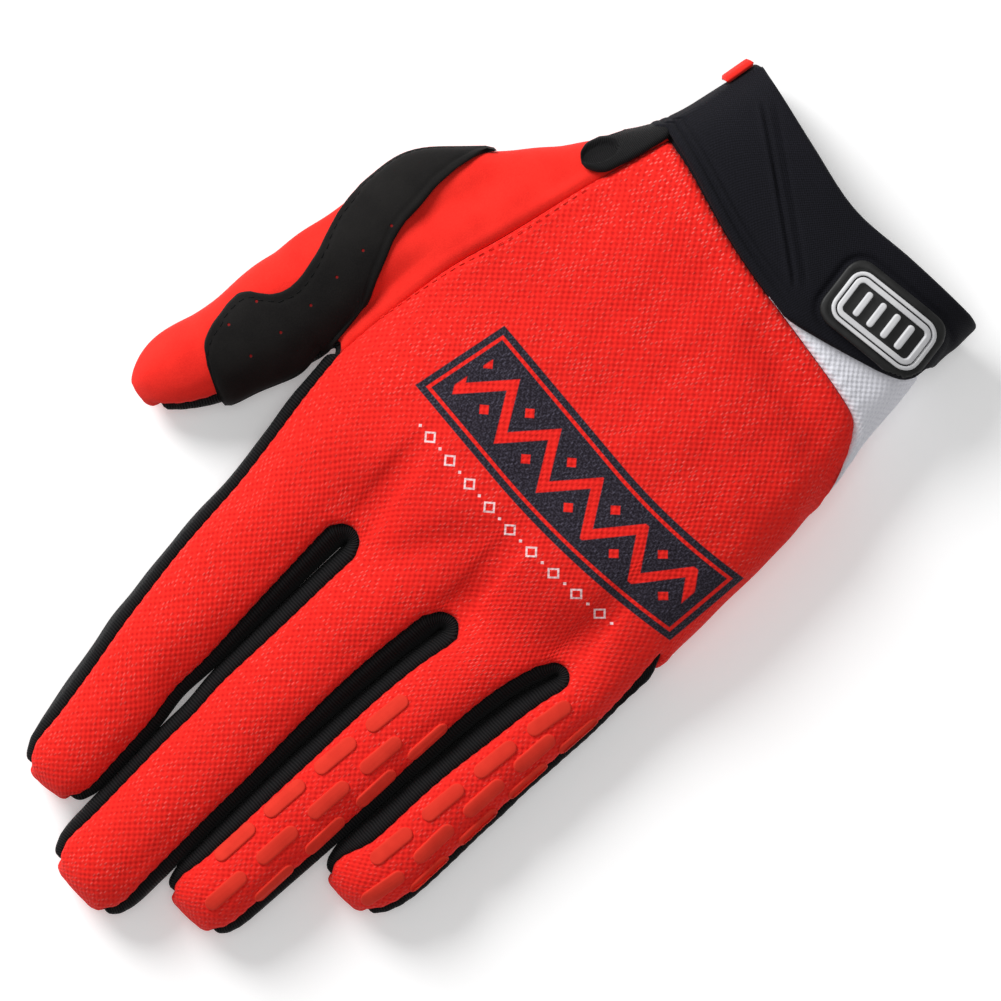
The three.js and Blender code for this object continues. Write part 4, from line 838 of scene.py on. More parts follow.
fine_points = numbers_from(rough.data.vertices, "co", 3)
fine_corners = numbers_from(rough.data.loops, "vertex_index", 1, np.int32).reshape(-1, 4)
fine_cloth = numbers_from(rough.data.uv_layers[0].uv, "vector", 2).reshape(-1, 4, 2)
fine_piece = numbers_from(rough.data.polygons, "material_index", 1, np.int32)
old_mesh = rough.data
bpy.data.objects.remove(rough)
bpy.data.meshes.remove(old_mesh)
for name in PIECES:
    bpy.data.materials.remove(bpy.data.materials[name])

# Soft valleys of the top: places are shares of the hand's width and length, angles are in
# degrees, and the rest is in millimetres
FOLDS = table(
    "across along angle reach width depth",
    (-0.36, -0.87, -12, 20, 4.5, 1.5),
    (-0.1, 0.08, 62, 17, 5, 1.4),
    (0.47, -0.55, 80, 14, 4, 1.5),
    (0.36, -0.8, 70, 10, 4, 0.8),
    (-0.25, 0.13, 75, 12, 5, 0.7),
    (-0.42, -0.05, 58, 16, 6, 0.6),
    (0.1, -0.6, 8, 34, 9, 0.5),
    (0.56, 0.1, 78, 12, 3.5, 0.6),
)
# Waves of the cloth: length and height in millimetres, turn in degrees
WAVES = table(
    "length turn height",
    (31, 20, 0.14),
    (19, -35, 0.1),
    (12.5, 70, 0.07),
    (8.3, 5, 0.045),
)
WAVE_RISE = 0.6
WAVE_SWAY = 0.9
SWAY_LENGTH = 2.7

# Seams, puckers and bars: lengths in millimetres, the bars' places in shares of the finger, the
# puckers' sway in radians
SEAM_CALM = 4
SEAM_DIP = 0.75
SEAM_DIP_REACH = 0.75
SEAM_SWELL = 0.2
SEAM_SWELL_PLACE = 2.0
SEAM_SWELL_REACH = 1.1
PUCKER_PITCH = 2.9
PUCKER_HEIGHT = 0.11
PUCKER_REACH = 2.4
PUCKER_SWAY = 1.4
PUCKER_SWAY_ALONG = 5.1
PUCKER_SWAY_ACROSS = 7.3
WRIST_PUCKERS_ABOVE = 2
RESTING_LEVEL = 0.6
REST_CLEARANCE = 0.03
GAP_SWELL = 0.3
NORMAL_ROUNDS = 3
BAR_LENGTH = 10.8
BAR_WIDTH = 3.2
BAR_PITCH = 14.2
BARS_IN_ROW = 4
RING_BARS = table("first across lean", (0.383, -0.22, 0.022), (0.298, -0.63, -0.036), (0.275, 0.34, 0.045))
LITTLE_BARS = table("first across lean", (0.233, -0.4, 0), (0.1, -0.78, -0.01), (0.115, 0.04, 0.05))
BAR_AHEAD = 0.02
BAR_DENT = 0.1
BAR_DENT_REACH = 0.7


def vertex_normals(points, corners):
    """Normals of a mesh of four-sided faces, weighted by area."""
    a, b, c, d = (points[corners[:, k]] for k in range(4))
    face = np.cross(c - a, d - b)
    normals = np.zeros_like(points)
    for k in range(4):
        np.add.at(normals, corners[:, k], face)
    return normals / np.maximum(np.linalg.norm(normals, axis=1, keepdims=True), 1e-12)


def softened(normals, corners, rounds):
    """Normals averaged over the faces around each point, again and again."""
    for _ in range(rounds):
        face = normals[corners].mean(axis=1)
        total = np.zeros_like(normals)
        for k in range(4):
            np.add.at(total, corners[:, k], face)
        normals = total / np.maximum(np.linalg.norm(total, axis=1, keepdims=True), 1e-12)
    return normals


def fold_depth(x, y):
    depth = np.zeros_like(x)
    for fold in FOLDS:
        dx = x - fold["across"] * HAND_WIDTH
        dy = y - fold["along"] * HAND_LENGTH
        turn = radians(fold["angle"])
        along = (dx * cos(turn) + dy * sin(turn)) / fold["reach"]
        off = (dy * cos(turn) - dx * sin(turn)) / fold["width"]
        depth += fold["depth"] * np.exp(-off ** 2 - along ** 4)
    return depth


def cloth_waves(points):
    """Gentle unevenness of soft cloth, the same in every run."""
    height = np.zeros(len(points))
    for wave in WAVES:
        turn = radians(wave["turn"])
        along = points[:, 0] * cos(turn) + points[:, 1] * sin(turn) + WAVE_RISE * points[:, 2]
        aside = points[:, 1] * cos(turn) - points[:, 0] * sin(turn)
        sway = WAVE_SWAY * np.sin(aside * 2 * pi / (wave["length"] * SWAY_LENGTH))
        height += wave["height"] * np.sin(along * 2 * pi / wave["length"] + sway)
    return height


GAP_PIECES = [k for k, piece in enumerate(PIECES) if piece.startswith("fourchette")]

# Distance of every point of the skin from the nearest seam
lowest = np.full(len(fine_points), len(PIECES))
highest = np.full(len(fine_points), -1)
for k in range(4):
    np.minimum.at(lowest, fine_corners[:, k], fine_piece)
    np.maximum.at(highest, fine_corners[:, k], fine_piece)
seam_numbers = np.flatnonzero(lowest != highest)
seam_tree = KDTree(len(seam_numbers))
for n in seam_numbers:
    seam_tree.insert(Vector(fine_points[n]), int(n))
seam_tree.balance()
seam_distance = np.array([seam_tree.find(Vector(p))[2] for p in fine_points])


def bar_places(finger, rows):
    """Place and heading in plan of each rubber bar on a finger."""
    places = []
    for row in rows:
        for k in range(BARS_IN_ROW):
            s = row["first"] + k * BAR_PITCH / DIGITS[finger]["long"]
            across = row["across"] + k * row["lean"]
            turned = row["lean"] * BAR_AHEAD * DIGITS[finger]["long"] / BAR_PITCH
            at = digit_point(digit_section(finger, s), across, False)
            ahead = digit_point(digit_section(finger, s + BAR_AHEAD), across + turned, False)
            places.append((at.xy, (ahead - at).xy.normalized()))
    return places


BARS = {"ring": bar_places("ring", RING_BARS), "little": bar_places("little", LITTLE_BARS)}


def bar_outline_distance(points):
    """Distance in plan from each point to the nearest bar's rounded outline, negative inside."""
    best = np.full(len(points), np.inf)
    for place, heading in BARS["ring"] + BARS["little"]:
        dx = points[:, 0] - place.x
        dy = points[:, 1] - place.y
        along = np.abs(dx * heading.x + dy * heading.y)
        aside = np.abs(dy * heading.x - dx * heading.y)
        past = np.maximum(along - (BAR_LENGTH - BAR_WIDTH) / 2, 0)
        best = np.minimum(best, np.hypot(past, aside) - BAR_WIDTH / 2)
    return best


normals = softened(vertex_normals(fine_points, fine_corners), fine_corners, NORMAL_ROUNDS)
facing_up = np.clip(normals[:, 2], 0, 1)
in_gap = np.zeros(len(fine_points), dtype=bool)
in_gap[fine_corners[np.isin(fine_piece, GAP_PIECES)]] = True
move = np.where(in_gap, GAP_SWELL, cloth_waves(fine_points)) * np.clip(seam_distance / SEAM_CALM, 0, 1)
move -= fold_depth(fine_points[:, 0], fine_points[:, 1]) * facing_up
near_bar = bar_outline_distance(fine_points)
move -= BAR_DENT * np.exp(-(near_bar / BAR_DENT_REACH) ** 2) * facing_up
dip = -SEAM_DIP * np.exp(-(seam_distance / SEAM_DIP_REACH) ** 2)
dip += SEAM_SWELL * np.exp(-((seam_distance - SEAM_SWELL_PLACE) / SEAM_SWELL_REACH) ** 2)
phase = fine_points[:, 1] * 2 * pi / PUCKER_PITCH
sway = fine_points[:, 1] / PUCKER_SWAY_ALONG + fine_points[:, 0] / PUCKER_SWAY_ACROSS
phase += PUCKER_SWAY * np.sin(sway)
wrist = fine_points[:, 1] < wrist_level + WRIST_PUCKERS_ABOVE
phase = np.where(wrist, fine_points[:, 0] * 2 * pi / PUCKER_PITCH, phase)
dip += PUCKER_HEIGHT * np.sin(phase) * np.exp(-(seam_distance / PUCKER_REACH) ** 2)
move += dip
flat_below = (fine_points[:, 2] < RESTING_LEVEL) & (normals[:, 2] < 0)
move[flat_below] = np.minimum(move[flat_below], 0)
skin_points_fine = fine_points + normals * move[:, None]
skin_points_fine[:, 2] = np.maximum(skin_points_fine[:, 2], REST_CLEARANCE)
skin_normals = softened(vertex_normals(skin_points_fine, fine_corners), fine_corners, NORMAL_ROUNDS)


def to_part(points):
    """Millimetres in the glove's frame to metres in the part's frame."""
    return (np.asarray(points, dtype=float) + np.array(PLACE)) * MM


def boundary_edges(corners):
    """Directed edges that only one face has."""
    pairs = {}
    for face in corners:
        for a, b in zip(face, face[1:] + face[:1]):
            if a == b:
                continue
            if (b, a) in pairs:
                del pairs[(b, a)]
            else:
                pairs[(a, b)] = True
    return list(pairs)


def shell_object(name, outer, inner, corners, outer_cloth):
    """A closed wall between two copies of a surface, with cloth places on both."""
    count = len(outer)
    faces = []
    places = []
    for face, cloth in zip(corners, outer_cloth):
        ring = [k for k in range(len(face)) if face[k] != face[k - 1]]
        if len(ring) < 3:
            continue
        faces.append([face[k] for k in ring])
        places.append([cloth[k] for k in ring])
        faces.append([face[k] + count for k in reversed(ring)])
        places.append([cloth[k] for k in reversed(ring)])
    cloth_at = {}
    for face, cloth in zip(corners, outer_cloth):
        for n, place in zip(face, cloth):
            cloth_at[n] = place
    for a, b in boundary_edges(corners):
        faces.append([a, a + count, b + count, b])
        places.append([cloth_at[a], cloth_at[a], cloth_at[b], cloth_at[b]])
    piece = make_object(name, to_part(np.concatenate([outer, inner])).tolist(), faces)
    layer = piece.data.uv_layers.new(name="cloth")
    flat = [value for face in places for place in face for value in (place[0] * MM, place[1] * MM)]
    layer.data.foreach_set("uv", flat)
    piece.data.polygons.foreach_set("use_smooth", [True] * len(piece.data.polygons))
    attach(piece, "root")
    return piece


# Panels of the glove in millimetres: wall, the cut's width and length, and its flat area
PANELS = table(
    "node slot wall wide long area",
    ("back_panel", "red_knit", PANEL_WALL, 143, 204, 16470),
    ("palm_panel", "red_suede", PANEL_WALL, 96, 194, 13830),
    ("thumb_back_panel", "red_suede", PANEL_WALL, 53, 127, 4000),
    ("thumb_palm_panel", "red_suede", PANEL_WALL, 37, 120, 2210),
    ("fourchette_index_middle", "black_rib", STRIP_WALL, 15, 192, 2506),
    ("fourchette_middle_ring", "black_rib", STRIP_WALL, 15, 202, 2641),
    ("fourchette_ring_little", "black_rib", STRIP_WALL, 15, 177, 2241),
    ("index_side_strip", "black_rib", STRIP_WALL, 20, 108, 1506),
    ("thumb_side_strip", "black_rib", STRIP_WALL, 14, 48, 564),
    ("little_side_strip", "black_rib", STRIP_WALL, 20, 82, 908),
    ("wrist_gusset", "white_knit", PANEL_WALL, 88, 20, 1229),
    ("cuff", "black_knit", CUFF_WALL, 200, 30, 3839),
)
SEAM_GAP = 0.08


def panel_object(node, wall):
    """One panel of the skin, drawn back a little from its seams and given its wall."""
    chosen = fine_piece == PIECES.index(node)
    corners = fine_corners[chosen]
    used, local = np.unique(corners, return_inverse=True)
    local = local.reshape(-1, 4)
    outer = skin_points_fine[used].copy()
    inner = outer - skin_normals[used] * wall
    faces = local.tolist()
    draw = np.zeros_like(outer)
    for a, b in boundary_edges(faces):
        along = outer[b] - outer[a]
        for n in (a, b):
            inward = np.cross(skin_normals[used[n]], along)
            draw[n] += inward / max(np.linalg.norm(inward), 1e-9)
    size = np.linalg.norm(draw, axis=1, keepdims=True)
    draw = np.where(size > 1e-6, draw / np.maximum(size, 1e-6), 0) * SEAM_GAP
    outer += draw
    inner += draw
    return shell_object(node + "_cloth", outer, inner, faces, fine_cloth[chosen].tolist())


cloth_pieces = {}
for panel in PANELS:
    piece = panel_object(panel["node"], panel["wall"])
    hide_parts(panel["node"])
    panel["wide"] * MM
    panel["long"] * MM
    panel["area"] * MM * MM
    cloth_pieces[panel["node"]] = piece


# Materials. Lengths in them are metres in the part's frame or on the cloth.
# Sockets of the Mix node that share their names with others, by number
MIX_FIRST = 6
MIX_SECOND = 7
MIX_RESULT = 2


class Field:
    """A value that varies over a surface: one output of a node, with arithmetic."""

    def __init__(self, tree, output=None):
        self.tree = tree
        self.output = output

    def node(self, kind, settings, inputs, output=0):
        """Any node: settings first, then values or links for its sockets; gives one output."""
        made = self.tree.nodes.new(kind)
        for key, value in settings.items():
            setattr(made, key, value)
        for key, value in inputs.items():
            if isinstance(value, Field):
                self.tree.links.new(value.output, made.inputs[key])
            else:
                made.inputs[key].default_value = value
        return Field(self.tree, made.outputs[output])

    def maths(self, operation, *values):
        return self.node("ShaderNodeMath", {"operation": operation}, dict(enumerate(values)))

    def __add__(self, other):
        return self.maths("ADD", self, other)

    def __radd__(self, other):
        return self.maths("ADD", other, self)

    def __sub__(self, other):
        return self.maths("SUBTRACT", self, other)

    def __rsub__(self, other):
        return self.maths("SUBTRACT", other, self)

    def __mul__(self, other):
        return self.maths("MULTIPLY", self, other)

    def __rmul__(self, other):
        return self.maths("MULTIPLY", other, self)

    def __truediv__(self, other):
        return self.maths("DIVIDE", self, other)

    def least(self, other):
        return self.maths("MINIMUM", self, other)

    def most(self, other):
        return self.maths("MAXIMUM", self, other)

    def root(self):
        return self.maths("SQRT", self)

    def size(self):
        return self.maths("ABSOLUTE", self)

    def wave(self, pitch):
        """From -1 to 1 and back once in each pitch."""
        return self.maths("COSINE", self * (2 * pi / pitch))

    def fraction(self):
        return self.maths("FRACT", self)

    def whole(self):
        return self.maths("FLOOR", self)

    def rise(self, low, high):
        """Smooth step from 0 at low to 1 at high."""
        ramp = {"interpolation_type": "SMOOTHSTEP"}
        return self.node("ShaderNodeMapRange", ramp, {0: self, 1: low, 2: high, 3: 0.0, 4: 1.0})

    def within(self, edge, soft):
        """1 below an edge and 0 above it; soft is how far it fades on either side."""
        return 1 - self.rise(edge - soft[0], edge + soft[1])

    def blend(self, first, second):
        """Colour between two, by this share."""
        colours = {0: self, MIX_FIRST: first, MIX_SECOND: second}
        return self.node("ShaderNodeMix", {"data_type": "RGBA"}, colours, MIX_RESULT)

    def noise(self, spacing, detail=2.0, rough=0.5, output=0):
        """Cloudy noise on this place, from 0 to 1."""
        inputs = {"Vector": self, "Scale": 1 / spacing, "Detail": detail, "Roughness": rough}
        return self.node("ShaderNodeTexNoise", {}, inputs, output)

    def parts(self):
        return [self.node("ShaderNodeSeparateXYZ", {}, {0: self}, k) for k in range(3)]

    def place(self, x, y):
        return self.node("ShaderNodeCombineXYZ", {}, {0: x, 1: y})


def colour(red, green, blue):
    return (red, green, blue, 1.0)


def finish(name, paint, **constants):
    """A material: paint gives the base colour, roughness and bump height in metres."""
    material = bpy.data.materials.new(name)
    material.use_nodes = True
    tree = material.node_tree
    shader = tree.nodes["Principled BSDF"]
    for key, value in constants.items():
        shader.inputs[key.replace("_", " ")].default_value = value
    start = Field(tree)
    base, rough, height = paint(start)
    tree.links.new(base.output, shader.inputs["Base Color"])
    tree.links.new(rough.output, shader.inputs["Roughness"])
    bump = start.node("ShaderNodeBump", {}, {"Height": height, "Distance": 1.0, "Strength": 1.0})
    tree.links.new(bump.output, shader.inputs["Normal"])
    return material


def object_place(start):
    return start.node("ShaderNodeTexCoord", {}, {}, 3)


def cloth_place(start):
    return start.node("ShaderNodeUVMap", {"uv_map": "cloth"}, {})


def dimples(u, v, pitch_u, pitch_v):
    """Staggered lattice of small hollows in a knit, from -1 to 1."""
    return u.wave(pitch_u) * v.wave(pitch_v)


RED = colour(0.87, 0.021, 0.014)
# Painted shade for the hollows of the red knit
HOLLOW_SHADE_RED = colour(0.72, 0.011, 0.009)
PALE_YARN = colour(0.92, 0.22, 0.19)
INK = colour(0.018, 0.014, 0.021)
INK_YARN = colour(0.13, 0.12, 0.17)
CHALK = colour(0.93, 0.75, 0.76)

# The red knit: distances and relief in metres, the rest in shares
KNIT_U = 1.55 * MM
KNIT_V = 1.75 * MM
KNIT_SWAY_SPACING = 6 * MM
KNIT_SWAY = 0.5 * MM
PATCH_SPACING = 2.2 * MM
PATCH_GAIN = 1.5
PATCH_LEAST = 0.2
LATTICE_SHADE = (-1.0, 0.2)
LATTICE_RELIEF = 0.075 * MM
FLECK_U = 0.95 * MM
FLECK_V = 0.9 * MM
FLECK_WIDE = 0.28 * MM
FLECK_LONG = 0.66 * MM
FLECK_SHARE = 0.6
FLECK_FADE = (0.3, 0.7)
FLECK_CHANCE = (1.02, 1.35)
FLECK_CLOUDS = 13 * MM
FLECK_CLOUD_FADE = (0.35, 0.75)
FLECK_BY_CLOUD = 0.25
FLECK_LEAST = 0.12
FLECK_BY_HEM = 0.55
FLECK_RELIEF = 0.04 * MM
FUZZ_SPACING = 0.35 * MM
FUZZ_ROUGH = 0.15
FUZZ_RELIEF = 0.05 * MM
KNIT_ROUGH = 0.68

# Paler yarn near the hem, in the glove's frame, in millimetres
PALE_HEM = (68.0, 79.0)
PALE_HEM_LEFT = -42
PALE_HEM_FADE = 10.0

# The printed block on the back of the hand, in the glove's frame, in millimetres
BLOCK_LEFT = -55.5
BLOCK_TOP = -11
BLOCK_TOP_BEND = 0.00255
BLOCK_TOP_BEND_FROM = -5
BLOCK_BOTTOM = -33.3
BLOCK_BOTTOM_BEND = 0.00365
BLOCK_BOTTOM_BEND_FROM = -20
BLOCK_RIGHT = 20
BLOCK_RIGHT_SLANT = 0.114
PRINT_FOOT = 11
BORDER_INSET = 1.9
BORDER_WIDTH = 0.75
ZIGZAG_PITCH = 13.5
ZIGZAG_HEIGHT = 4.6
ZIGZAG_WIDTH = 2.2
ZIGZAG_SLOPE = 0.6
GEM_PLACE = 3.4
GEM_SIZE = 1.4
MOTIF_INSET = 4.6
MARK_ROW = 4.6
MARK_PITCH = 6.4
MARK_SIZE = 1.35
MARK_LINE = 0.26
DOT_SIZE = 0.42
MARK_FROM = -45.6
MARK_TO = 13.6
MARK_END_FADE = 0.2
PRINT_FADE = (-0.1, 0.15)
MOTIF_FADE = 0.2
BORDER_SOFT = (0.1, 0.12)
ZIGZAG_SOFT = (0.15, 0.15)
GEM_SOFT = (0.2, 0.1)
MARK_SOFT = (0.08, 0.12)
DOT_SOFT = (0.1, 0.12)

# Ink on the knit's grain: distance in metres, the rest in shares
INK_GRAIN = 0.42 * MM
INK_GRAIN_FADE = (0.46, 0.62)
INK_BY_GRAIN = 0.22
INK_BY_FLECK = 0.3
CHALK_LEAST = 0.85
CHALK_BY_LATTICE = 0.12


def flecks(start, u, v):
    """Pale dashes of yarn in staggered cells; a share of the cells shows one."""
    row = (v / FLECK_V).whole()
    column = u / FLECK_U + (row * 0.5).fraction() + 0.5
    cell = start.place(column.whole(), row)
    chance = cell.node("ShaderNodeTexWhiteNoise", {"noise_dimensions": "2D"}, {"Vector": cell})
    aside = (column.fraction() - 0.5).size() * FLECK_U
    ahead = ((v / FLECK_V).fraction() - 0.5).size() * FLECK_V
    near, far = FLECK_FADE
    across = 1 - aside.rise(FLECK_WIDE * near, FLECK_WIDE * far)
    along = 1 - ahead.rise(FLECK_LONG * near, FLECK_LONG * far)
    least, sure = FLECK_CHANCE
    return across * along * chance.rise(least - FLECK_SHARE, sure - FLECK_SHARE)


def knit_ground(start):
    """Cloth places of a panel, a little uneven, as u and v."""
    cloth = cloth_place(start)
    sway = cloth.noise(KNIT_SWAY_SPACING, 1.0)
    u, v, _ = cloth.parts()
    shift = (sway - 0.5) * KNIT_SWAY
    return cloth, u + shift, v + shift


def block_distance(x, y):
    """How far a place is inside the printed block, with the block's top and bottom lines."""
    far_top = (BLOCK_TOP_BEND_FROM - x).most(0.0)
    far_low = (BLOCK_BOTTOM_BEND_FROM - x).most(0.0)
    top = BLOCK_TOP - far_top * far_top * BLOCK_TOP_BEND
    bottom = BLOCK_BOTTOM - far_low * far_low * BLOCK_BOTTOM_BEND
    right = BLOCK_RIGHT + (y - BLOCK_TOP) * BLOCK_RIGHT_SLANT
    inside = (top - y).least(y - bottom).least(right - x).least(x - BLOCK_LEFT)
    return inside, top, bottom


def block_motif(x, y, inside, middle):
    """Border line, zigzag and lozenges of the printed block."""
    border = (inside - BORDER_INSET).size().within(BORDER_WIDTH / 2, BORDER_SOFT)
    from_valley = ((x / ZIGZAG_PITCH).fraction() - 0.5).size() * ZIGZAG_PITCH
    from_peak = ZIGZAG_PITCH / 2 - from_valley
    rise = y - middle
    climb = from_valley * (4 * ZIGZAG_HEIGHT / ZIGZAG_PITCH)
    off = (rise + ZIGZAG_HEIGHT - climb).size() * ZIGZAG_SLOPE
    zigzag = off.within(ZIGZAG_WIDTH / 2, ZIGZAG_SOFT)
    low_gem = from_peak + (rise + GEM_PLACE).size()
    high_gem = from_valley + (rise - GEM_PLACE).size()
    gems = low_gem.least(high_gem).within(GEM_SIZE, GEM_SOFT)
    motif = zigzag.most(gems) * inside.rise(MOTIF_INSET - MOTIF_FADE, MOTIF_INSET + MOTIF_FADE)
    return border.most(motif)


def mark_line(x, y, top):
    """Row of pale outlined lozenges above the block, with a dot between each two."""
    along = ((x / MARK_PITCH).fraction() - 0.5).size() * MARK_PITCH
    off = (y - top - MARK_ROW).size()
    lozenge = (along + off - MARK_SIZE).size().within(MARK_LINE, MARK_SOFT)
    dot = (MARK_PITCH / 2 - along + off).within(DOT_SIZE, DOT_SOFT)
    ends = (x - MARK_FROM).rise(0.0, MARK_END_FADE) * (MARK_TO - x).rise(0.0, MARK_END_FADE)
    return lozenge.most(dot) * ends


def paint_red_knit(start):
    cloth, u, v = knit_ground(start)
    body = object_place(start)
    body_x, body_y, body_z = body.parts()
    x = body_x / MM - PLACE.x
    y = body_y / MM - PLACE.y
    above = (body_z / MM).rise(PRINT_FOOT, PRINT_FOOT + 1)
    by_hem = (0.0 - y).rise(*PALE_HEM) * (x - PALE_HEM_LEFT).rise(0.0, PALE_HEM_FADE)
    patches = cloth.noise(PATCH_SPACING, 1.0) * PATCH_GAIN + PATCH_LEAST
    lattice = dimples(u, v, KNIT_U, KNIT_V) * patches
    yarn = flecks(start, u, v)
    cloudy = body.noise(FLECK_CLOUDS, 2.0).rise(*FLECK_CLOUD_FADE)
    strong = (cloudy * FLECK_BY_CLOUD + FLECK_LEAST).most(by_hem * FLECK_BY_HEM)
    # The knit's hollows, low in the relief, are painted darker: painted shade
    ground = lattice.rise(*LATTICE_SHADE).blend(HOLLOW_SHADE_RED, RED)
    red = (yarn * strong).blend(ground, PALE_YARN)
    inside, top, bottom = block_distance(x, y)
    grain = cloth.noise(INK_GRAIN, 1.0).rise(*INK_GRAIN_FADE)
    ink = (grain * INK_BY_GRAIN + yarn * INK_BY_FLECK).blend(INK, INK_YARN)
    block = block_motif(x, y, inside, (top + bottom) / 2).blend(ink, ground)
    printed = (inside.rise(*PRINT_FADE) * above).blend(red, block)
    chalk = mark_line(x, y, top) * (lattice * CHALK_BY_LATTICE + CHALK_LEAST)
    fuzz = cloth.noise(FUZZ_SPACING, 2.0)
    height = lattice * LATTICE_RELIEF + yarn * FLECK_RELIEF + fuzz * FUZZ_RELIEF
    return chalk.blend(printed, CHALK), fuzz * FUZZ_ROUGH + KNIT_ROUGH, height


# Suede: spacings in metres, the rest in shares
SUEDE_CLOUDS = 7 * MM
SUEDE_GRAIN = 0.28 * MM
SUEDE_FINE = 0.9 * MM
SUEDE_FADE = (0.25, 0.7)
SUEDE_ROUGH = 0.74
SUEDE_GRAIN_ROUGH = 0.15


def paint_suede(dark, light, nap):
    """Soft clouded suede; the nap is the height of its grain in millimetres."""
    def paint(start):
        body = object_place(start)
        cloudy = body.noise(SUEDE_CLOUDS, 3.0)
        grain = body.noise(SUEDE_GRAIN, 2.0)
        fine = body.noise(SUEDE_FINE, 2.0)
        base = (cloudy * 0.5 + grain * 0.5).rise(*SUEDE_FADE).blend(dark, light)
        return base, grain * SUEDE_GRAIN_ROUGH + SUEDE_ROUGH, (grain + fine) * (nap * MM)

    return paint


# Small holes in the thumb's overlay, in the glove's frame
PERFORATIONS = table(
    "x y",
    (47, 11.5), (55, 10.8), (46.7, 3.5), (55, 3.2), (47, -5), (48, -13), (48.7, -20.8),
    (48.8, -28.7),
)
HOLE_RADIUS = 0.32
HOLE_SOFT = 0.1
HOLE_DEPTH = 0.3
# Red of the panel seen through each hole, darkened by painted shade inside the hole
SHADED_HOLE_RED = colour(0.2, 0.006, 0.006)
OVERLAY_NAP = 0.035


def paint_overlay(start):
    body = object_place(start)
    x, y, _ = body.parts()
    far = None
    for hole in PERFORATIONS:
        across = x - (hole["x"] + PLACE.x) * MM
        along = y - (hole["y"] + PLACE.y) * MM
        distance = (across * across + along * along).root()
        far = far.least(distance) if far else distance
    hole = far.within(HOLE_RADIUS * MM, (HOLE_SOFT * MM, HOLE_SOFT * MM))
    base, rough, height = paint_suede(BLACK_SUEDE, WORN_BLACK, OVERLAY_NAP)(start)
    # Each hole shows the panel's red with painted shade, besides its dip in the bump
    return hole.blend(base, SHADED_HOLE_RED), rough, height - hole * (HOLE_DEPTH * MM)


# Ribbed strips: distances and relief in metres, the rest in shares
RIBBING_SWAY_SPACING = 4 * MM
RIBBING_SWAY = 0.5 * MM
RIBBING_THREAD = 0.5 * MM
RIBBING_THREAD_RELIEF = 0.012 * MM
RIBBING_FADE = (-0.7, 1.0)
RIBBING_ROUGH = 0.66
RIBBING_TOP_ROUGH = 0.1


def paint_rib(pitch, depth):
    """Narrow ribs across a strip, with a fine thread on each; lengths in millimetres."""
    def paint(start):
        cloth = cloth_place(start)
        u, v, _ = cloth.parts()
        sway = (cloth.noise(RIBBING_SWAY_SPACING, 1.0) - 0.5) * RIBBING_SWAY
        rib = (v + sway).wave(pitch * MM)
        thread = u.wave(RIBBING_THREAD)
        # Grooves between the ribs are painted darker: painted shade; the crests keep the thread's black
        shade = rib.rise(*RIBBING_FADE)
        height = rib * (depth * MM) + thread * RIBBING_THREAD_RELIEF
        return shade.blend(HOLLOW_SHADE_AND_TWIST_BLACK, BLACK_THREAD), shade * RIBBING_TOP_ROUGH + RIBBING_ROUGH, height

    return paint


# The black knit of the cuff and the strap: distances and relief in metres, the rest in shares
BLACK_KNIT_U = 0.55 * MM
BLACK_KNIT_V = 0.7 * MM
BLACK_KNIT_CLOUDS = 5 * MM
BLACK_KNIT_GRAIN = 0.3 * MM
BLACK_GRAIN_FADE = (0.3, 0.7)
BLACK_BY_LATTICE = 0.4
BLACK_BY_CLOUD = 0.15
BLACK_BY_GRAIN = 0.45
BLACK_KNIT_ROUGH = 0.78
BLACK_LATTICE_RELIEF = 0.035 * MM
BLACK_GRAIN_RELIEF = 0.03 * MM
GRAIN_ROUGH = 0.1


def paint_black_knit(start):
    cloth, u, v = knit_ground(start)
    lattice = dimples(u, v, BLACK_KNIT_U, BLACK_KNIT_V)
    cloudy = object_place(start).noise(BLACK_KNIT_CLOUDS, 2.0)
    grain = cloth.noise(BLACK_KNIT_GRAIN, 2.0)
    # Darker in the knit's hollows as painted shade, with cloudy and grainy tone besides
    share = lattice.rise(-1.0, 1.0) * BLACK_BY_LATTICE + cloudy * BLACK_BY_CLOUD
    share = share + grain.rise(*BLACK_GRAIN_FADE) * BLACK_BY_GRAIN
    height = lattice * BLACK_LATTICE_RELIEF + grain * BLACK_GRAIN_RELIEF
    return share.blend(HOLLOW_SHADE_AND_TWIST_BLACK, NAVY_BLACK), grain * GRAIN_ROUGH + BLACK_KNIT_ROUGH, height


# The white knit of the gusset: distances and relief in metres, the rest in shares
WHITE_KNIT_PITCH = 1.5 * MM
WHITE_KNIT_GRAIN = 0.4 * MM
WHITE_KNIT_FADE = (-1.0, -0.1)
WHITE_KNIT_ROUGH = 0.75
WHITE_LATTICE_RELIEF = 0.065 * MM
WHITE_GRAIN_RELIEF = 0.05 * MM


def paint_white_knit(start):
    cloth, u, v = knit_ground(start)
    lattice = dimples(u, v, WHITE_KNIT_PITCH, WHITE_KNIT_PITCH)
    grain = cloth.noise(WHITE_KNIT_GRAIN, 2.0)
    base = lattice.rise(*WHITE_KNIT_FADE).blend(WHITE_SHADE, WHITE_KNIT)
    height = lattice * WHITE_LATTICE_RELIEF + grain * WHITE_GRAIN_RELIEF
    return base, grain * GRAIN_ROUGH + WHITE_KNIT_ROUGH, height


# Rubber and thread: distances and relief in metres, the rest in shares
RUBBER_CLOUDS = 3 * MM
RUBBER_GRAIN = 0.25 * MM
RUBBER_FADE = (0.25, 0.75)
RUBBER_GRAIN_ROUGH = 0.12
RUBBER_RELIEF = 0.012 * MM
THREAD_TWIST = 0.2 * MM
THREAD_FADE = (0.3, 0.7)
THREAD_ROUGH = 0.6
THREAD_RELIEF = 0.03 * MM


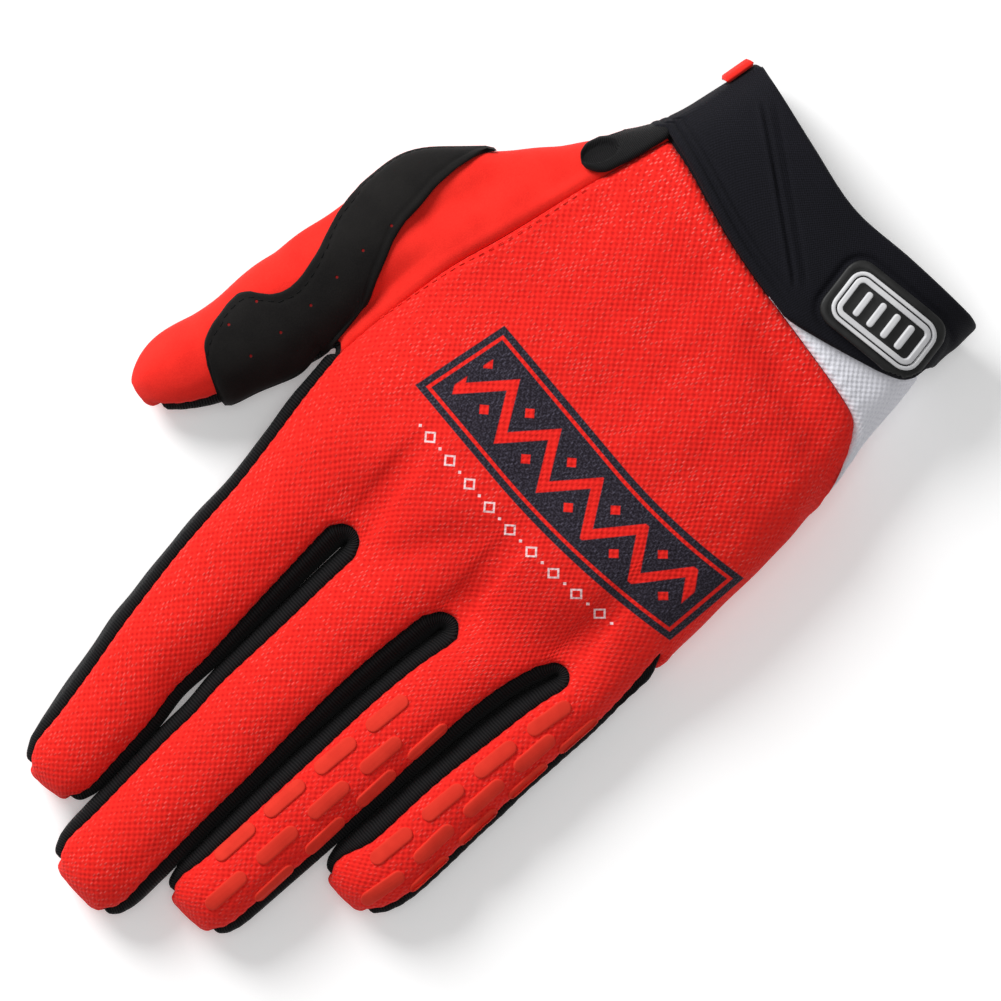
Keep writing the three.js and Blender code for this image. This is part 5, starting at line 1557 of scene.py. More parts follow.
def paint_rubber(dark, light, rough):
    def paint(start):
        body = object_place(start)
        cloudy = body.noise(RUBBER_CLOUDS, 2.0)
        grain = body.noise(RUBBER_GRAIN, 1.0)
        base = cloudy.rise(*RUBBER_FADE).blend(dark, light)
        return base, grain * RUBBER_GRAIN_ROUGH + rough, grain * RUBBER_RELIEF

    return paint


def paint_thread(dark, light):
    def paint(start):
        twist = object_place(start).noise(THREAD_TWIST, 1.0)
        base = twist.rise(*THREAD_FADE).blend(dark, light)
        return base, twist * GRAIN_ROUGH + THREAD_ROUGH, twist * THREAD_RELIEF

    return paint


SUEDE_RED = colour(0.86, 0.028, 0.018)
SUEDE_DEEP_RED = colour(0.72, 0.018, 0.012)
THREAD_BLACK = colour(0.004, 0.004, 0.004)
BLACK_SUEDE = colour(0.0045, 0.004, 0.004)
WORN_BLACK = colour(0.0105, 0.0095, 0.009)
# Painted shade in the hollows of the ribs and the black knit, and the thread's darker twist
HOLLOW_SHADE_AND_TWIST_BLACK = colour(0.002, 0.002, 0.0025)
BLACK_THREAD = colour(0.013, 0.0125, 0.013)
NAVY_BLACK = colour(0.0115, 0.0115, 0.017)
WHITE_KNIT = colour(0.84, 0.84, 0.9)
WHITE_SHADE = colour(0.75, 0.75, 0.82)
RUBBER_RED = colour(0.76, 0.04, 0.022)
RUBBER_DEEP_RED = colour(0.7, 0.034, 0.019)
RUBBER_BLACK = colour(0.008, 0.008, 0.008)
RUBBER_WORN = colour(0.016, 0.016, 0.016)
RUBBER_WHITE = colour(0.74, 0.74, 0.75)
RUBBER_SHADE = colour(0.66, 0.66, 0.68)
cloth_look = {"Sheen_Weight": 0.03, "Sheen_Roughness": 0.5, "Specular_IOR_Level": 0.1}
rubber_look = {"Specular_IOR_Level": 0.35}
FINISHES = {
    "red_knit": finish("red_knit", paint_red_knit, **cloth_look),
    "red_suede": finish("red_suede", paint_suede(SUEDE_DEEP_RED, SUEDE_RED, nap=0.045), **cloth_look),
    "black_suede": finish("black_suede", paint_overlay, **cloth_look),
    "black_rib": finish("black_rib", paint_rib(pitch=0.62, depth=0.07), **cloth_look),
    "fine_rib": finish("fine_rib", paint_rib(pitch=0.42, depth=0.05), **cloth_look),
    "black_knit": finish("black_knit", paint_black_knit, **cloth_look),
    "white_knit": finish("white_knit", paint_white_knit, **cloth_look),
    "red_rubber": finish(
        "red_rubber", paint_rubber(RUBBER_DEEP_RED, RUBBER_RED, rough=0.7), **cloth_look),
    "black_rubber": finish(
        "black_rubber", paint_rubber(RUBBER_BLACK, RUBBER_WORN, rough=0.45), **rubber_look),
    "white_rubber": finish(
        "white_rubber", paint_rubber(RUBBER_SHADE, RUBBER_WHITE, rough=0.42), **rubber_look),
    "black_thread": finish("black_thread", paint_thread(HOLLOW_SHADE_AND_TWIST_BLACK, THREAD_BLACK), **cloth_look),
    "red_thread": finish("red_thread", paint_thread(SUEDE_DEEP_RED, SUEDE_RED), **cloth_look),
}


def dress(piece, name):
    piece.data.materials.clear()
    piece.data.materials.append(FINISHES[name])


for panel in PANELS:
    dress(cloth_pieces[panel["node"]], panel["slot"])


# Layers that lie on the skin
LAYER_LIFT = 0.3
STRAP_THICK = 2.0
STRAP_EDGE_ROUND = 1.3
STRAP_LOW = 0.04
STRAP_COLUMNS = 5
STRAP_ROWS = 96
STRAP_HEM_GAP = -0.3
STRAP_WRAP = 3
STRAP_EDGE = table(
    "across along",
    (-0.56, -1.2), (-0.515, -1.175), (-0.5, -1.145), (-0.468, -1.113), (-0.37, -1.062),
    (-0.28, -1.02), (-0.2, -0.99), (-0.1, -0.985), (0.4, -0.985),
)
EDGE_LEAST = 0.12
SEAT_LEAST = 0.05
EVEN_SHARE = 0.6
NORMAL_EVENING = 6
PLACE_EVENING = 2
RAY_HEIGHT = 60

rough_points = np.array([tuple(p) for p in skin_points])
smooth_skin = BVHTree.FromPolygons(fine_points.tolist(), fine_corners.tolist())
smooth_normals = vertex_normals(fine_points, fine_corners)


def on_grid(grid, values, row, column):
    """Value between the points of a grid of skin numbers."""
    k = min(int(row), len(grid) - 2)
    j = min(int(column), len(grid[k]) - 2)
    up, over = row - k, column - j
    low = lerp(values[grid[k][j]], values[grid[k][j + 1]], over)
    high = lerp(values[grid[k + 1][j]], values[grid[k + 1][j + 1]], over)
    return lerp(low, high, up)


def row_at_level(grid, column, level):
    """Row share at which a column reaches a level."""
    start = on_grid(grid, rough_points, 0, column)[1]
    for row in range(1, len(grid)):
        stop = on_grid(grid, rough_points, row, column)[1]
        if level <= stop:
            return row - 1 + max(0, (level - start) / (stop - start))
        start = stop
    return len(grid) - 1


def column_at_edge(grid, row, edge_at, start):
    """Column share at which a row crosses an outline that gives x for each y."""
    before = None
    for column in range(start, len(grid[0])):
        x, y, _ = on_grid(grid, rough_points, row, column)
        now = x - edge_at(y)
        if now > 0:
            return column if before is None else column - 1 - before / (now - before)
        before = now
    return len(grid[0]) - 1


def seat_near(point):
    """Nearest place on the smooth skin and its normal there."""
    place, _, face, _ = smooth_skin.find_nearest(Vector(point))
    corners = fine_corners[face]
    away = np.linalg.norm(fine_points[corners] - np.array(place), axis=1)
    weight = 1 / (away + SEAT_LEAST) ** 2
    normal = (smooth_normals[corners] * weight[:, None]).sum(axis=0)
    return np.array(place), normal / np.linalg.norm(normal)


def even_out(values, rounds):
    """Grid of vectors averaged with its neighbours; the border stays."""
    out = values.copy()
    for _ in range(rounds):
        inside = out[:-2, 1:-1] + out[2:, 1:-1] + out[1:-1, :-2] + out[1:-1, 2:]
        out[1:-1, 1:-1] = out[1:-1, 1:-1] * (1 - EVEN_SHARE) + inside * (EVEN_SHARE / 4)
    return out


def layer_places(grid, lines):
    """Skin places and normals under lines of (row, column) shares."""
    seats = [[seat_near(on_grid(grid, rough_points, row, column)) for row, column in line]
             for line in lines]
    places = np.array([[place for place, _ in line] for line in seats])
    normals = np.array([[normal for _, normal in line] for line in seats])
    normals = even_out(normals, NORMAL_EVENING)
    normals /= np.linalg.norm(normals, axis=2, keepdims=True)
    return even_out(places, PLACE_EVENING), normals


def grid_lengths(places, axis):
    """Distances along a grid's lines in one direction, from its first line."""
    steps = np.linalg.norm(np.diff(places, axis=axis), axis=2)
    first = np.zeros_like(np.take(steps, [0], axis=axis))
    return np.concatenate([first, np.cumsum(steps, axis=axis)], axis=axis)


def layer_object(name, places, normals, lift, thick, rounding, slot_name, relief=None, turned=False):
    """A layer with rounded edges over a grid of skin places; relief moves its outside.

    Turned, its cloth lies with the other direction upwards.
    """
    across = grid_lengths(places, 0)
    along = grid_lengths(places, 1)
    edge = np.minimum(np.minimum(across, across[-1:] - across), np.minimum(along, along[:, -1:] - along))
    into = np.clip(1 - edge / rounding, 0, 1)
    full = np.maximum(np.sqrt(1 - into ** 2), EDGE_LEAST)
    extra = relief(places, edge) if relief is not None else np.zeros(edge.shape)
    outside = lift + thick / 2 * (1 + full) + extra * full
    inside = lift + thick / 2 * (1 - full)
    outer = (places + normals * outside[..., None]).reshape(-1, 3)
    inner = (places + normals * inside[..., None]).reshape(-1, 3)
    rows, columns = edge.shape
    corners = []
    cloths = []
    for k in range(rows - 1):
        for j in range(columns - 1):
            face = [k * columns + j, (k + 1) * columns + j, (k + 1) * columns + j + 1, k * columns + j + 1]
            corners.append(face)
            cloth = [(across[n // columns, n % columns], along[n // columns, n % columns]) for n in face]
            cloths.append([place[::-1] for place in cloth] if turned else cloth)
    piece = shell_object(name, outer, inner, corners, cloths)
    dress(piece, slot_name)
    return piece, outer


def surface_tree(points, rows, columns):
    faces = [[k * columns + j, (k + 1) * columns + j, (k + 1) * columns + j + 1, k * columns + j + 1]
             for k in range(rows - 1) for j in range(columns - 1)]
    return BVHTree.FromPolygons(points.tolist(), faces)


# The badge's place on the strap
BADGE_CENTRE = Vector((-0.345 * HAND_WIDTH, -1.182 * HAND_LENGTH))
BADGE_TURN = radians(12)
BADGE_LENGTH = 25
BADGE_WIDTH = 15.5
BADGE_CORNER = 4
HALO_PLACE = 0.9
HALO_REACH = 0.8
HALO_DEPTH = 0.55


def badge_distance(x, y):
    """Distance from the badge's rounded outline, negative inside."""
    dx = x - BADGE_CENTRE.x
    dy = y - BADGE_CENTRE.y
    along = np.abs(dx * cos(BADGE_TURN) + dy * sin(BADGE_TURN)) - (BADGE_LENGTH / 2 - BADGE_CORNER)
    aside = np.abs(dy * cos(BADGE_TURN) - dx * sin(BADGE_TURN)) - (BADGE_WIDTH / 2 - BADGE_CORNER)
    beyond = np.hypot(np.maximum(along, 0), np.maximum(aside, 0))
    return beyond + np.minimum(np.maximum(along, aside), 0) - BADGE_CORNER


# The strap: grooves beside its hem, a slanted double seam and a pressed halo round the badge
HEM_GROOVES = table("place depth width", (2.3, 0.8, 0.4), (4.3, 0.5, 0.45))
HEM_GROOVES_FROM = -20
HEM_GROOVES_TO = 29
HEM_GROOVES_FADE = (8, 5)
STRAP_WAVES = table(
    "height across along",
    (0.12, 1 / 4.7, 1 / 6.1),
    (0.1, -1 / 9.3, 1 / 2.9),
)
SEAM_START = Vector((-15, -85))
SEAM_STOP = Vector((18, -105))
SEAM_AHEAD = 1
SEAM_FADE = 3
SEAM_GROOVE = 0.7
SEAM_GROOVE_REACH = 0.45
SEAM_RIDGE = 0.9
SEAM_RIDGE_HEIGHT = 0.4
SEAM_RIDGE_REACH = 0.5
SEAM_SECOND = 2.6
SEAM_SECOND_DEPTH = 0.35


def strap_relief(places, edge):
    x = places[..., 0]
    y = places[..., 1]
    top_edge = grid_lengths(places, 1)
    from_hem = top_edge[:, -1:] - top_edge
    fade_in, fade_out = HEM_GROOVES_FADE
    by_hem = np.clip((x - HEM_GROOVES_FROM) / fade_in, 0, 1)
    by_hem *= np.clip((HEM_GROOVES_TO - x) / fade_out, 0, 1)
    extra = np.zeros_like(x)
    for wave in STRAP_WAVES:
        extra += wave["height"] * np.sin(x * wave["across"] + y * wave["along"])
    for groove in HEM_GROOVES:
        extra -= by_hem * groove["depth"] * np.exp(-((from_hem - groove["place"]) / groove["width"]) ** 2)
    heading = (SEAM_STOP - SEAM_START).normalized()
    along = (x - SEAM_START.x) * heading.x + (y - SEAM_START.y) * heading.y
    aside = (y - SEAM_START.y) * heading.x - (x - SEAM_START.x) * heading.y
    run = (SEAM_STOP - SEAM_START).length
    within = np.clip((along + SEAM_AHEAD) / SEAM_FADE, 0, 1) * np.clip((run - along) / SEAM_FADE, 0, 1)
    seam = -SEAM_GROOVE * np.exp(-(aside / SEAM_GROOVE_REACH) ** 2)
    seam += SEAM_RIDGE_HEIGHT * np.exp(-((np.abs(aside) - SEAM_RIDGE) / SEAM_RIDGE_REACH) ** 2)
    seam -= SEAM_SECOND_DEPTH * np.exp(-((aside + SEAM_SECOND) / SEAM_GROOVE_REACH) ** 2)
    extra += seam * within
    halo = badge_distance(x, y) - HALO_PLACE
    return extra - HALO_DEPTH * np.exp(-(halo / HALO_REACH) ** 2)


wrist_ring = [
    list(reversed(little_side[row][:STRAP_WRAP + 1])) + top[row][1:] + top_base[row][1:]
    + thumb_base_side[row][1:STRAP_WRAP + 1]
    for row in range(hem_row + 2)
]
strap_lines = []
last_column = len(wrist_ring[0]) - 1
for k in range(last_column * STRAP_COLUMNS + 1):
    column = k / STRAP_COLUMNS
    hem = on_grid(wrist_ring, rough_points, hem_row, column)
    level = HAND_LENGTH * sample(STRAP_EDGE, "along", "across", hem[0] / HAND_WIDTH)
    high = row_at_level(wrist_ring, column, min(level, hem[1] - STRAP_HEM_GAP))
    strap_lines.append([(lerp(STRAP_LOW, high, j / STRAP_ROWS), column) for j in range(STRAP_ROWS + 1)])
strap_places, strap_normals = layer_places(wrist_ring, strap_lines)
strap, strap_outer = layer_object("strap_pad", strap_places, strap_normals, LAYER_LIFT, STRAP_THICK,
                                  STRAP_EDGE_ROUND, "black_knit", strap_relief)
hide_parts("strap")
strap_top = surface_tree(strap_outer, *strap_places.shape[:2])

# The pull tab at the thumb's side
TAB_LIFT = 2.6
TAB_THICK = 1.5
TAB_FROM = cuff_end_level + 1
TAB_LONG = 7
TAB_FINE = 6
TAB_ROWS = 16
TAB_ROUND = 0.7
TAB_COLUMN = 3
tab_lines = []
for k in range(2 * TAB_FINE + 1):
    column = last_column - TAB_COLUMN + k / TAB_FINE
    low = row_at_level(wrist_ring, column, TAB_FROM)
    high = row_at_level(wrist_ring, column, TAB_FROM + TAB_LONG)
    tab_lines.append([(lerp(low, high, j / TAB_ROWS), column) for j in range(TAB_ROWS + 1)])
tab, _ = layer_object("pull_tab_loop", *layer_places(wrist_ring, tab_lines), TAB_LIFT, TAB_THICK,
                      TAB_ROUND, "red_suede")
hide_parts("pull_tab")

# The overlay on the thumb
OVERLAY_THICK = 0.95
OVERLAY_LIFT = 0.35
OVERLAY_ROUND = 0.45
OVERLAY_FIRST = 5.9
OVERLAY_LAST = 22.6
OVERLAY_STEP = 0.3
OVERLAY_WRAP = 1.87
OVERLAY_WRAP_LINES = 11
OVERLAY_TURN_LINES = 1.5
OVERLAY_REACH = 1.6
OVERLAY_FINE = 34
OVERLAY_LEAST = 0.3
STITCH_INSET = 1.9
STITCH_DIP = 0.22
STITCH_DIP_REACH = 0.4
OVERLAY_WAVES = table(
    "height across along",
    (0.1, 1 / 7, 1 / 3.1),
    (0.08, 1 / 2.3, -1 / 5.7),
)
OVERLAY_INNER = table(
    "y x",
    (-56, 45.5), (-54.2, 48), (-50, 48.6), (-46, 49), (-41, 48.8), (-36, 47.8), (-31, 47.3),
    (-27, 46), (-23, 44), (-18.5, 42), (-15, 40), (-11, 38.7), (-7, 38), (-3, 37.4), (0, 37),
    (20, 37),
)
OVERLAY_OUTER = table(
    "y x",
    (-56, 46), (-54.5, 49.3), (-53.5, 50.4), (-51, 52.4), (-48.5, 54.2), (-43, 58), (-38, 59.4),
    (-33, 59.6), (-27, 59), (-22, 58), (-17, 56), (-13, 54.4), (-10, 53.5), (-7, 52.7),
    (-4, 52.6), (-2, 53), (0, 54), (1.5, 55.6), (3, 57.4), (5, 58.5), (8, 58.3), (11, 57.6),
    (13.5, 57.1), (15, 56.5), (17, 55.4), (18.3, 54), (19.5, 52), (20.3, 50), (21, 46),
)
thumb_grid = [top_base[row] + thumb_base_side[row][1:] for row in range(hem_row, crotch_row + 1)]
crotch_line = len(thumb_grid) - 1
for row in digit_rows["thumb"][1:]:
    wall = list(reversed(row["left"][1:]))
    thumb_grid.append(wall[SIDE_FACES - GAP_FACES:] + row["top"] + row["right"][1:])


def edge_of(rows):
    return lambda y: float(np.interp(y, [row["y"] for row in rows], [row["x"] for row in rows]))


overlay_lines = []
row = OVERLAY_FIRST
while row <= crotch_line + OVERLAY_LAST + 1e-6:
    start = column_at_edge(thumb_grid, min(row, crotch_line), edge_of(OVERLAY_INNER), 0)
    past = max(0, row - crotch_line)
    start = lerp(start, GAP_FACES, min(1, past / OVERLAY_TURN_LINES))
    start -= OVERLAY_WRAP * smooth_step(past / OVERLAY_WRAP_LINES)
    stop = column_at_edge(thumb_grid, row, edge_of(OVERLAY_OUTER), 0 if row < crotch_line else GAP_FACES)
    stop = min(stop, GAP_FACES + DIGIT_TOP_FACES + OVERLAY_REACH)
    start = min(start, stop - OVERLAY_LEAST)
    overlay_lines.append([(row, lerp(start, stop, j / OVERLAY_FINE)) for j in range(OVERLAY_FINE + 1)])
    row += OVERLAY_STEP
overlay_places, overlay_normals = layer_places(thumb_grid, overlay_lines)


def overlay_relief(places, edge):
    """A pressed line where the overlay is stitched, and gentle waves."""
    x = places[..., 0]
    y = places[..., 1]
    extra = -STITCH_DIP * np.exp(-((edge - STITCH_INSET) / STITCH_DIP_REACH) ** 2)
    for wave in OVERLAY_WAVES:
        extra += wave["height"] * np.sin(x * wave["across"] + y * wave["along"])
    return extra


overlay, overlay_outer = layer_object("thumb_overlay_suede", overlay_places, overlay_normals,
                                      OVERLAY_LIFT, OVERLAY_THICK, OVERLAY_ROUND, "black_suede",
                                      overlay_relief)
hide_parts("thumb_overlay")

# The binding round the slit, between its left and right edges in plan
BINDING_SIDES = table(
    "y left right",
    (-86.4, 26.2, 28.4), (-85.2, 25.3, 29.3), (-84, 25.3, 30.1), (-82, 25.6, 30.8),
    (-80, 25.9, 31.4), (-78, 26.2, 32), (-75, 26.8, 33.3), (-73.5, 27.2, 34.3),
    (-71, 27.8, 35.1), (-70, 28.2, 35.1), (-69, 29, 34.8), (-68.5, 29.6, 34.5),
    (-67.9, 30.5, 33.8), (-67.3, 31.7, 32.8),
)
BINDING_THICK = 1.6
BINDING_LIFT = 0.25
BINDING_ROUND = 1.1
BINDING_ROWS = 90
BINDING_COLUMNS = 36
BINDING_EVENING = 6
SLIT_CENTRE = Vector((31.9, -71.6))
SLIT_TURN = radians(68)
SLIT_HALF_LENGTH = 3.6
SLIT_HALF_WIDTH = 1.75
SLIT_DEPTH = 1.3
SLIT_SLOPE = 0.25
binding_seats = []
for k in range(BINDING_ROWS + 1):
    y = lerp(BINDING_SIDES[0]["y"], BINDING_SIDES[-1]["y"], k / BINDING_ROWS)
    levels = [row["y"] for row in BINDING_SIDES]
    left = float(np.interp(y, levels, [row["left"] for row in BINDING_SIDES]))
    right = float(np.interp(y, levels, [row["right"] for row in BINDING_SIDES]))
    line = []
    for j in range(BINDING_COLUMNS + 1):
        x = lerp(right, left, j / BINDING_COLUMNS)
        hit = smooth_skin.ray_cast(Vector((x, y, RAY_HEIGHT)), Vector((0, 0, -1)))[0]
        line.append(seat_near(hit or Vector((x, y, HAND_HEIGHT * EDGE_SHARE))))
    binding_seats.append(line)
binding_places = np.array([[place for place, _ in line] for line in binding_seats])
binding_places = even_out(binding_places, BINDING_EVENING)
binding_normals = np.array([[normal for _, normal in line] for line in binding_seats])
binding_normals = even_out(binding_normals, BINDING_EVENING)
binding_normals /= np.linalg.norm(binding_normals, axis=2, keepdims=True)


def binding_relief(places, edge):
    dx = places[..., 0] - SLIT_CENTRE.x
    dy = places[..., 1] - SLIT_CENTRE.y
    along = (dx * cos(SLIT_TURN) + dy * sin(SLIT_TURN)) / SLIT_HALF_LENGTH
    aside = (dy * cos(SLIT_TURN) - dx * sin(SLIT_TURN)) / SLIT_HALF_WIDTH
    inside = np.clip((1 + SLIT_SLOPE - np.hypot(along, aside)) / SLIT_SLOPE, 0, 1)
    return -SLIT_DEPTH * inside ** 2 * (3 - 2 * inside)


binding, _ = layer_object("slit_binding_rib", binding_places, binding_normals, BINDING_LIFT,
                          BINDING_THICK, BINDING_ROUND, "black_rib", binding_relief, turned=True)
dress(binding, "fine_rib")
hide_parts("slit_binding")


# Rubber pieces: modelled flat in millimetres, then laid on what carries them
CORNER_STEPS = 6
EDGE_STEPS = 3
SLOPE_STEP = 1.2
REMESH_BAR = 0.2
REMESH_BADGE = 0.34


def select_edges(piece, wanted):
    """Select the edges whose two ends pass a test, for the next edit-mode operator."""
    bpy.context.tool_settings.mesh_select_mode = (False, True, False)
    mesh = piece.data
    for part in (mesh.vertices, mesh.edges, mesh.polygons):
        part.foreach_set("select", [False] * len(part))
    for edge in mesh.edges:
        ends = [mesh.vertices[n].co for n in edge.vertices]
        edge.select = wanted(*ends)


def rounded_plate(name, length, width, thick, corner, edge):
    """A plate with rounded corners and a rounded top edge, if any; its foot is at height 0."""
    clear_selection()
    bpy.ops.mesh.primitive_cube_add(size=1, location=(0, 0, thick / 2))
    piece = bpy.context.object
    piece.name = name
    piece.scale = (length, width, thick)
    bpy.ops.object.transform_apply(location=True, rotation=False, scale=True)
    select_edges(piece, lambda a, b: abs(a.z - b.z) > thick / 2)
    bpy.ops.object.mode_set(mode="EDIT")
    bpy.ops.mesh.select_mode(type="EDGE")
    bpy.ops.mesh.bevel(offset=corner, segments=CORNER_STEPS, affect="EDGES")
    bpy.ops.object.mode_set(mode="OBJECT")
    if edge:
        select_edges(piece, lambda a, b: min(a.z, b.z) > thick - edge / 2)
        bpy.ops.object.mode_set(mode="EDIT")
        bpy.ops.mesh.bevel(offset=edge, segments=EDGE_STEPS, affect="EDGES")
        bpy.ops.object.mode_set(mode="OBJECT")
    return piece


def edit_flat_faces(piece, least):
    """Go into edit mode with only the large faces selected whose normal rises above least."""
    select_edges(piece, lambda a, b: False)
    large = max(face.area for face in piece.data.polygons) / 2
    for face in piece.data.polygons:
        face.select = face.area > large and face.normal.z > least
    bpy.ops.object.mode_set(mode="EDIT")
    bpy.ops.mesh.select_mode(type="FACE")


def surface_height(tree, x, y):
    hit = tree.ray_cast(Vector((x, y, RAY_HEIGHT)), Vector((0, 0, -1)))[0]
    return hit.z if hit else None


def lay_on(piece, tree, centre, heading, lift):
    """Bend a flat piece onto a surface: its length follows the heading in plan."""
    mesh = piece.data
    flat = numbers_from(mesh.vertices, "co", 3)
    side = Vector((-heading.y, heading.x))
    edges = [surface_height(tree, *(centre.xy + side * half)) for half in (SLOPE_STEP, -SLOPE_STEP)]
    slope = (edges[0] - edges[1]) / (2 * SLOPE_STEP) if None not in edges else 0
    narrowing = 1 / hypot(1, slope)
    laid = []
    for u, v, z in flat:
        v *= narrowing
        x = centre.x + heading.x * u + side.x * v
        y = centre.y + heading.y * u + side.y * v
        height = surface_height(tree, x, y)
        heights = [surface_height(tree, x + a * SLOPE_STEP, y + b * SLOPE_STEP)
                   for a, b in ((1, 0), (-1, 0), (0, 1), (0, -1))]
        if height is None or None in heights:
            height = tree.find_nearest(Vector((x, y, HAND_HEIGHT / 2)))[0].z
            heights = [height] * 4
        slope_x = (heights[0] - heights[1]) / (2 * SLOPE_STEP)
        slope_y = (heights[2] - heights[3]) / (2 * SLOPE_STEP)
        normal = Vector((-slope_x, -slope_y, 1)).normalized()
        laid.append(tuple(Vector((x, y, height)) + normal * (z + lift)))
    mesh.vertices.foreach_set("co", to_part(laid).ravel())
    mesh.polygons.foreach_set("use_smooth", [True] * len(mesh.polygons))
    mesh.update()


def copy_of(piece, name):
    twin = piece.copy()
    twin.data = piece.data.copy()
    twin.name = name
    bpy.context.scene.collection.objects.link(twin)
    return twin


def set_down(piece, slot_name, *nodes):
    dress(piece, slot_name)
    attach(piece, "root")
    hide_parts(*nodes)


# The raised bars on two fingers
BAR_THICK = 0.75
BAR_SUNK = 0.3
BAR_EDGE = 0.12
BAR_CORNER_ROOM = 0.02
cloth_top = BVHTree.FromPolygons(skin_points_fine.tolist(), fine_corners.tolist())
bar = rounded_plate("bar", BAR_LENGTH, BAR_WIDTH, BAR_THICK, BAR_WIDTH / 2 - BAR_CORNER_ROOM,
                    BAR_EDGE)
apply_modifier(bar, "REMESH", mode="VOXEL", voxel_size=REMESH_BAR)
for finger, places in BARS.items():
    for order, (place, heading) in enumerate(places):
        piece = copy_of(bar, f"{finger}_rubber_bar_{order + 1:02d}")
        lay_on(piece, cloth_top, place, heading, -BAR_SUNK)
        set_down(piece, "red_rubber", f"{finger}_bar_{order + 1:02d}")
bar_mesh = bar.data
bpy.data.objects.remove(bar)
bpy.data.meshes.remove(bar_mesh)

# The badge: a base with a sunk face, two lines round it and four upright ribs
BADGE_THICK = 1.5
BADGE_RIM = 1.3
BADGE_SUNK = 0.35
BADGE_STEP = 0.2
BADGE_EDGE = 0.5
BADGE_LIFT = 0.05
FACING_UP = 0.9
FACING_ANYWHERE = -2
LINE_TALL = 0.95
LINE_EDGE = 0.16
LINE_EDGE_STEPS = 2
LINE_EDGE_ANGLE = 1
LINE_SUNK = 0.1
REMESH_LINE = 0.22
LINES = table("length width corner wall", (21.6, 12.1, 3.3, 0.85), (19.3, 9.8, 2.2, 1.2))
RIB_LENGTH = 6
RIB_WIDTH = 1.4
RIB_SPACING = 3.6
RIB_COUNT = 4
RIB_CORNER_ROOM = 0.1
RIB_EDGE = 0.2
badge_heading = Vector((cos(BADGE_TURN), sin(BADGE_TURN)))
base = rounded_plate("badge_base_rubber", BADGE_LENGTH, BADGE_WIDTH, BADGE_THICK, BADGE_CORNER,
                     BADGE_EDGE)
edit_flat_faces(base, FACING_UP)
bpy.ops.mesh.inset(thickness=BADGE_RIM - BADGE_EDGE)
bpy.ops.mesh.inset(thickness=BADGE_STEP)
bpy.ops.transform.translate(value=(0, 0, -BADGE_SUNK))
bpy.ops.object.mode_set(mode="OBJECT")
apply_modifier(base, "REMESH", mode="VOXEL", voxel_size=REMESH_BADGE)
lay_on(base, strap_top, BADGE_CENTRE, badge_heading, BADGE_LIFT)
set_down(base, "black_rubber", "badge_base")
on_badge = BADGE_THICK - BADGE_SUNK - LINE_SUNK
rings = []
for line in LINES:
    ring = rounded_plate("badge_frame_rubber", line["length"], line["width"], LINE_TALL, line["corner"], 0)
    edit_flat_faces(ring, FACING_ANYWHERE)
    bpy.ops.mesh.delete(type="FACE")
    bpy.ops.object.mode_set(mode="OBJECT")
    apply_modifier(ring, "SOLIDIFY", thickness=line["wall"], offset=-1)
    apply_modifier(ring, "BEVEL", width=LINE_EDGE, segments=LINE_EDGE_STEPS, limit_method="ANGLE",
                   angle_limit=LINE_EDGE_ANGLE)
    apply_modifier(ring, "REMESH", mode="VOXEL", voxel_size=REMESH_LINE)
    lay_on(ring, strap_top, BADGE_CENTRE, badge_heading, on_badge)
    rings.append(ring)
clear_selection()
for ring in rings:
    ring.select_set(True)
bpy.context.view_layer.objects.active = rings[0]
bpy.ops.object.join()
set_down(rings[0], "white_rubber", "badge_frame")
rib = rounded_plate("rib", RIB_WIDTH, RIB_LENGTH, LINE_TALL, RIB_WIDTH / 2 - RIB_CORNER_ROOM,
                    RIB_EDGE)
apply_modifier(rib, "REMESH", mode="VOXEL", voxel_size=REMESH_LINE)
for k in range(RIB_COUNT):
    piece = copy_of(rib, f"badge_rubber_rib_{k + 1}")
    along = (k - (RIB_COUNT - 1) / 2) * RIB_SPACING
    lay_on(piece, strap_top, BADGE_CENTRE + badge_heading * along, badge_heading, on_badge)
    set_down(piece, "white_rubber", f"badge_rib_{k + 1}")
rib_mesh = rib.data
bpy.data.objects.remove(rib)
bpy.data.meshes.remove(rib_mesh)

# Stitches: one small thread stitch, repeated along each sewn line
STITCH_LONG = 1.3
STITCH_THICK = 0.34
STITCH_PITCH = 2.3
STITCH_SIDES = 8
STITCH_RINGS = table("along radius", (-0.5, 0.25), (-0.42, 0.85), (0, 1), (0.42, 0.85), (0.5, 0.25))
BACK_SEAM_FROM = 4
BACK_SEAM_SHIFT = Vector((-1.5, 0, 0.3))
BACK_STITCH_LIFT = 0.05
OVERLAY_STITCH_LIFT = 0.02
OVERLAY_STITCHED = slice(3, -2)


def stitch_points():
    """A stitch along x with round ends, as points and faces in millimetres."""
    points = []
    faces = []
    around = STITCH_SIDES
    for ring in STITCH_RINGS:
        reach = STITCH_THICK / 2 * ring["radius"]
        for k in range(around):
            turn = k / around * 2 * pi
            points.append((ring["along"] * STITCH_LONG, reach * cos(turn), reach * sin(turn)))
    last = len(STITCH_RINGS) - 1
    for ring in range(last):
        for k in range(around):
            a = ring * around + k
            b = ring * around + (k + 1) % around
            faces.append((a, b, b + around, a + around))
    faces.append(tuple(reversed(range(around))))
    faces.append(tuple(range(last * around, (last + 1) * around)))
    return np.array(points), [face[::-1] for face in faces]


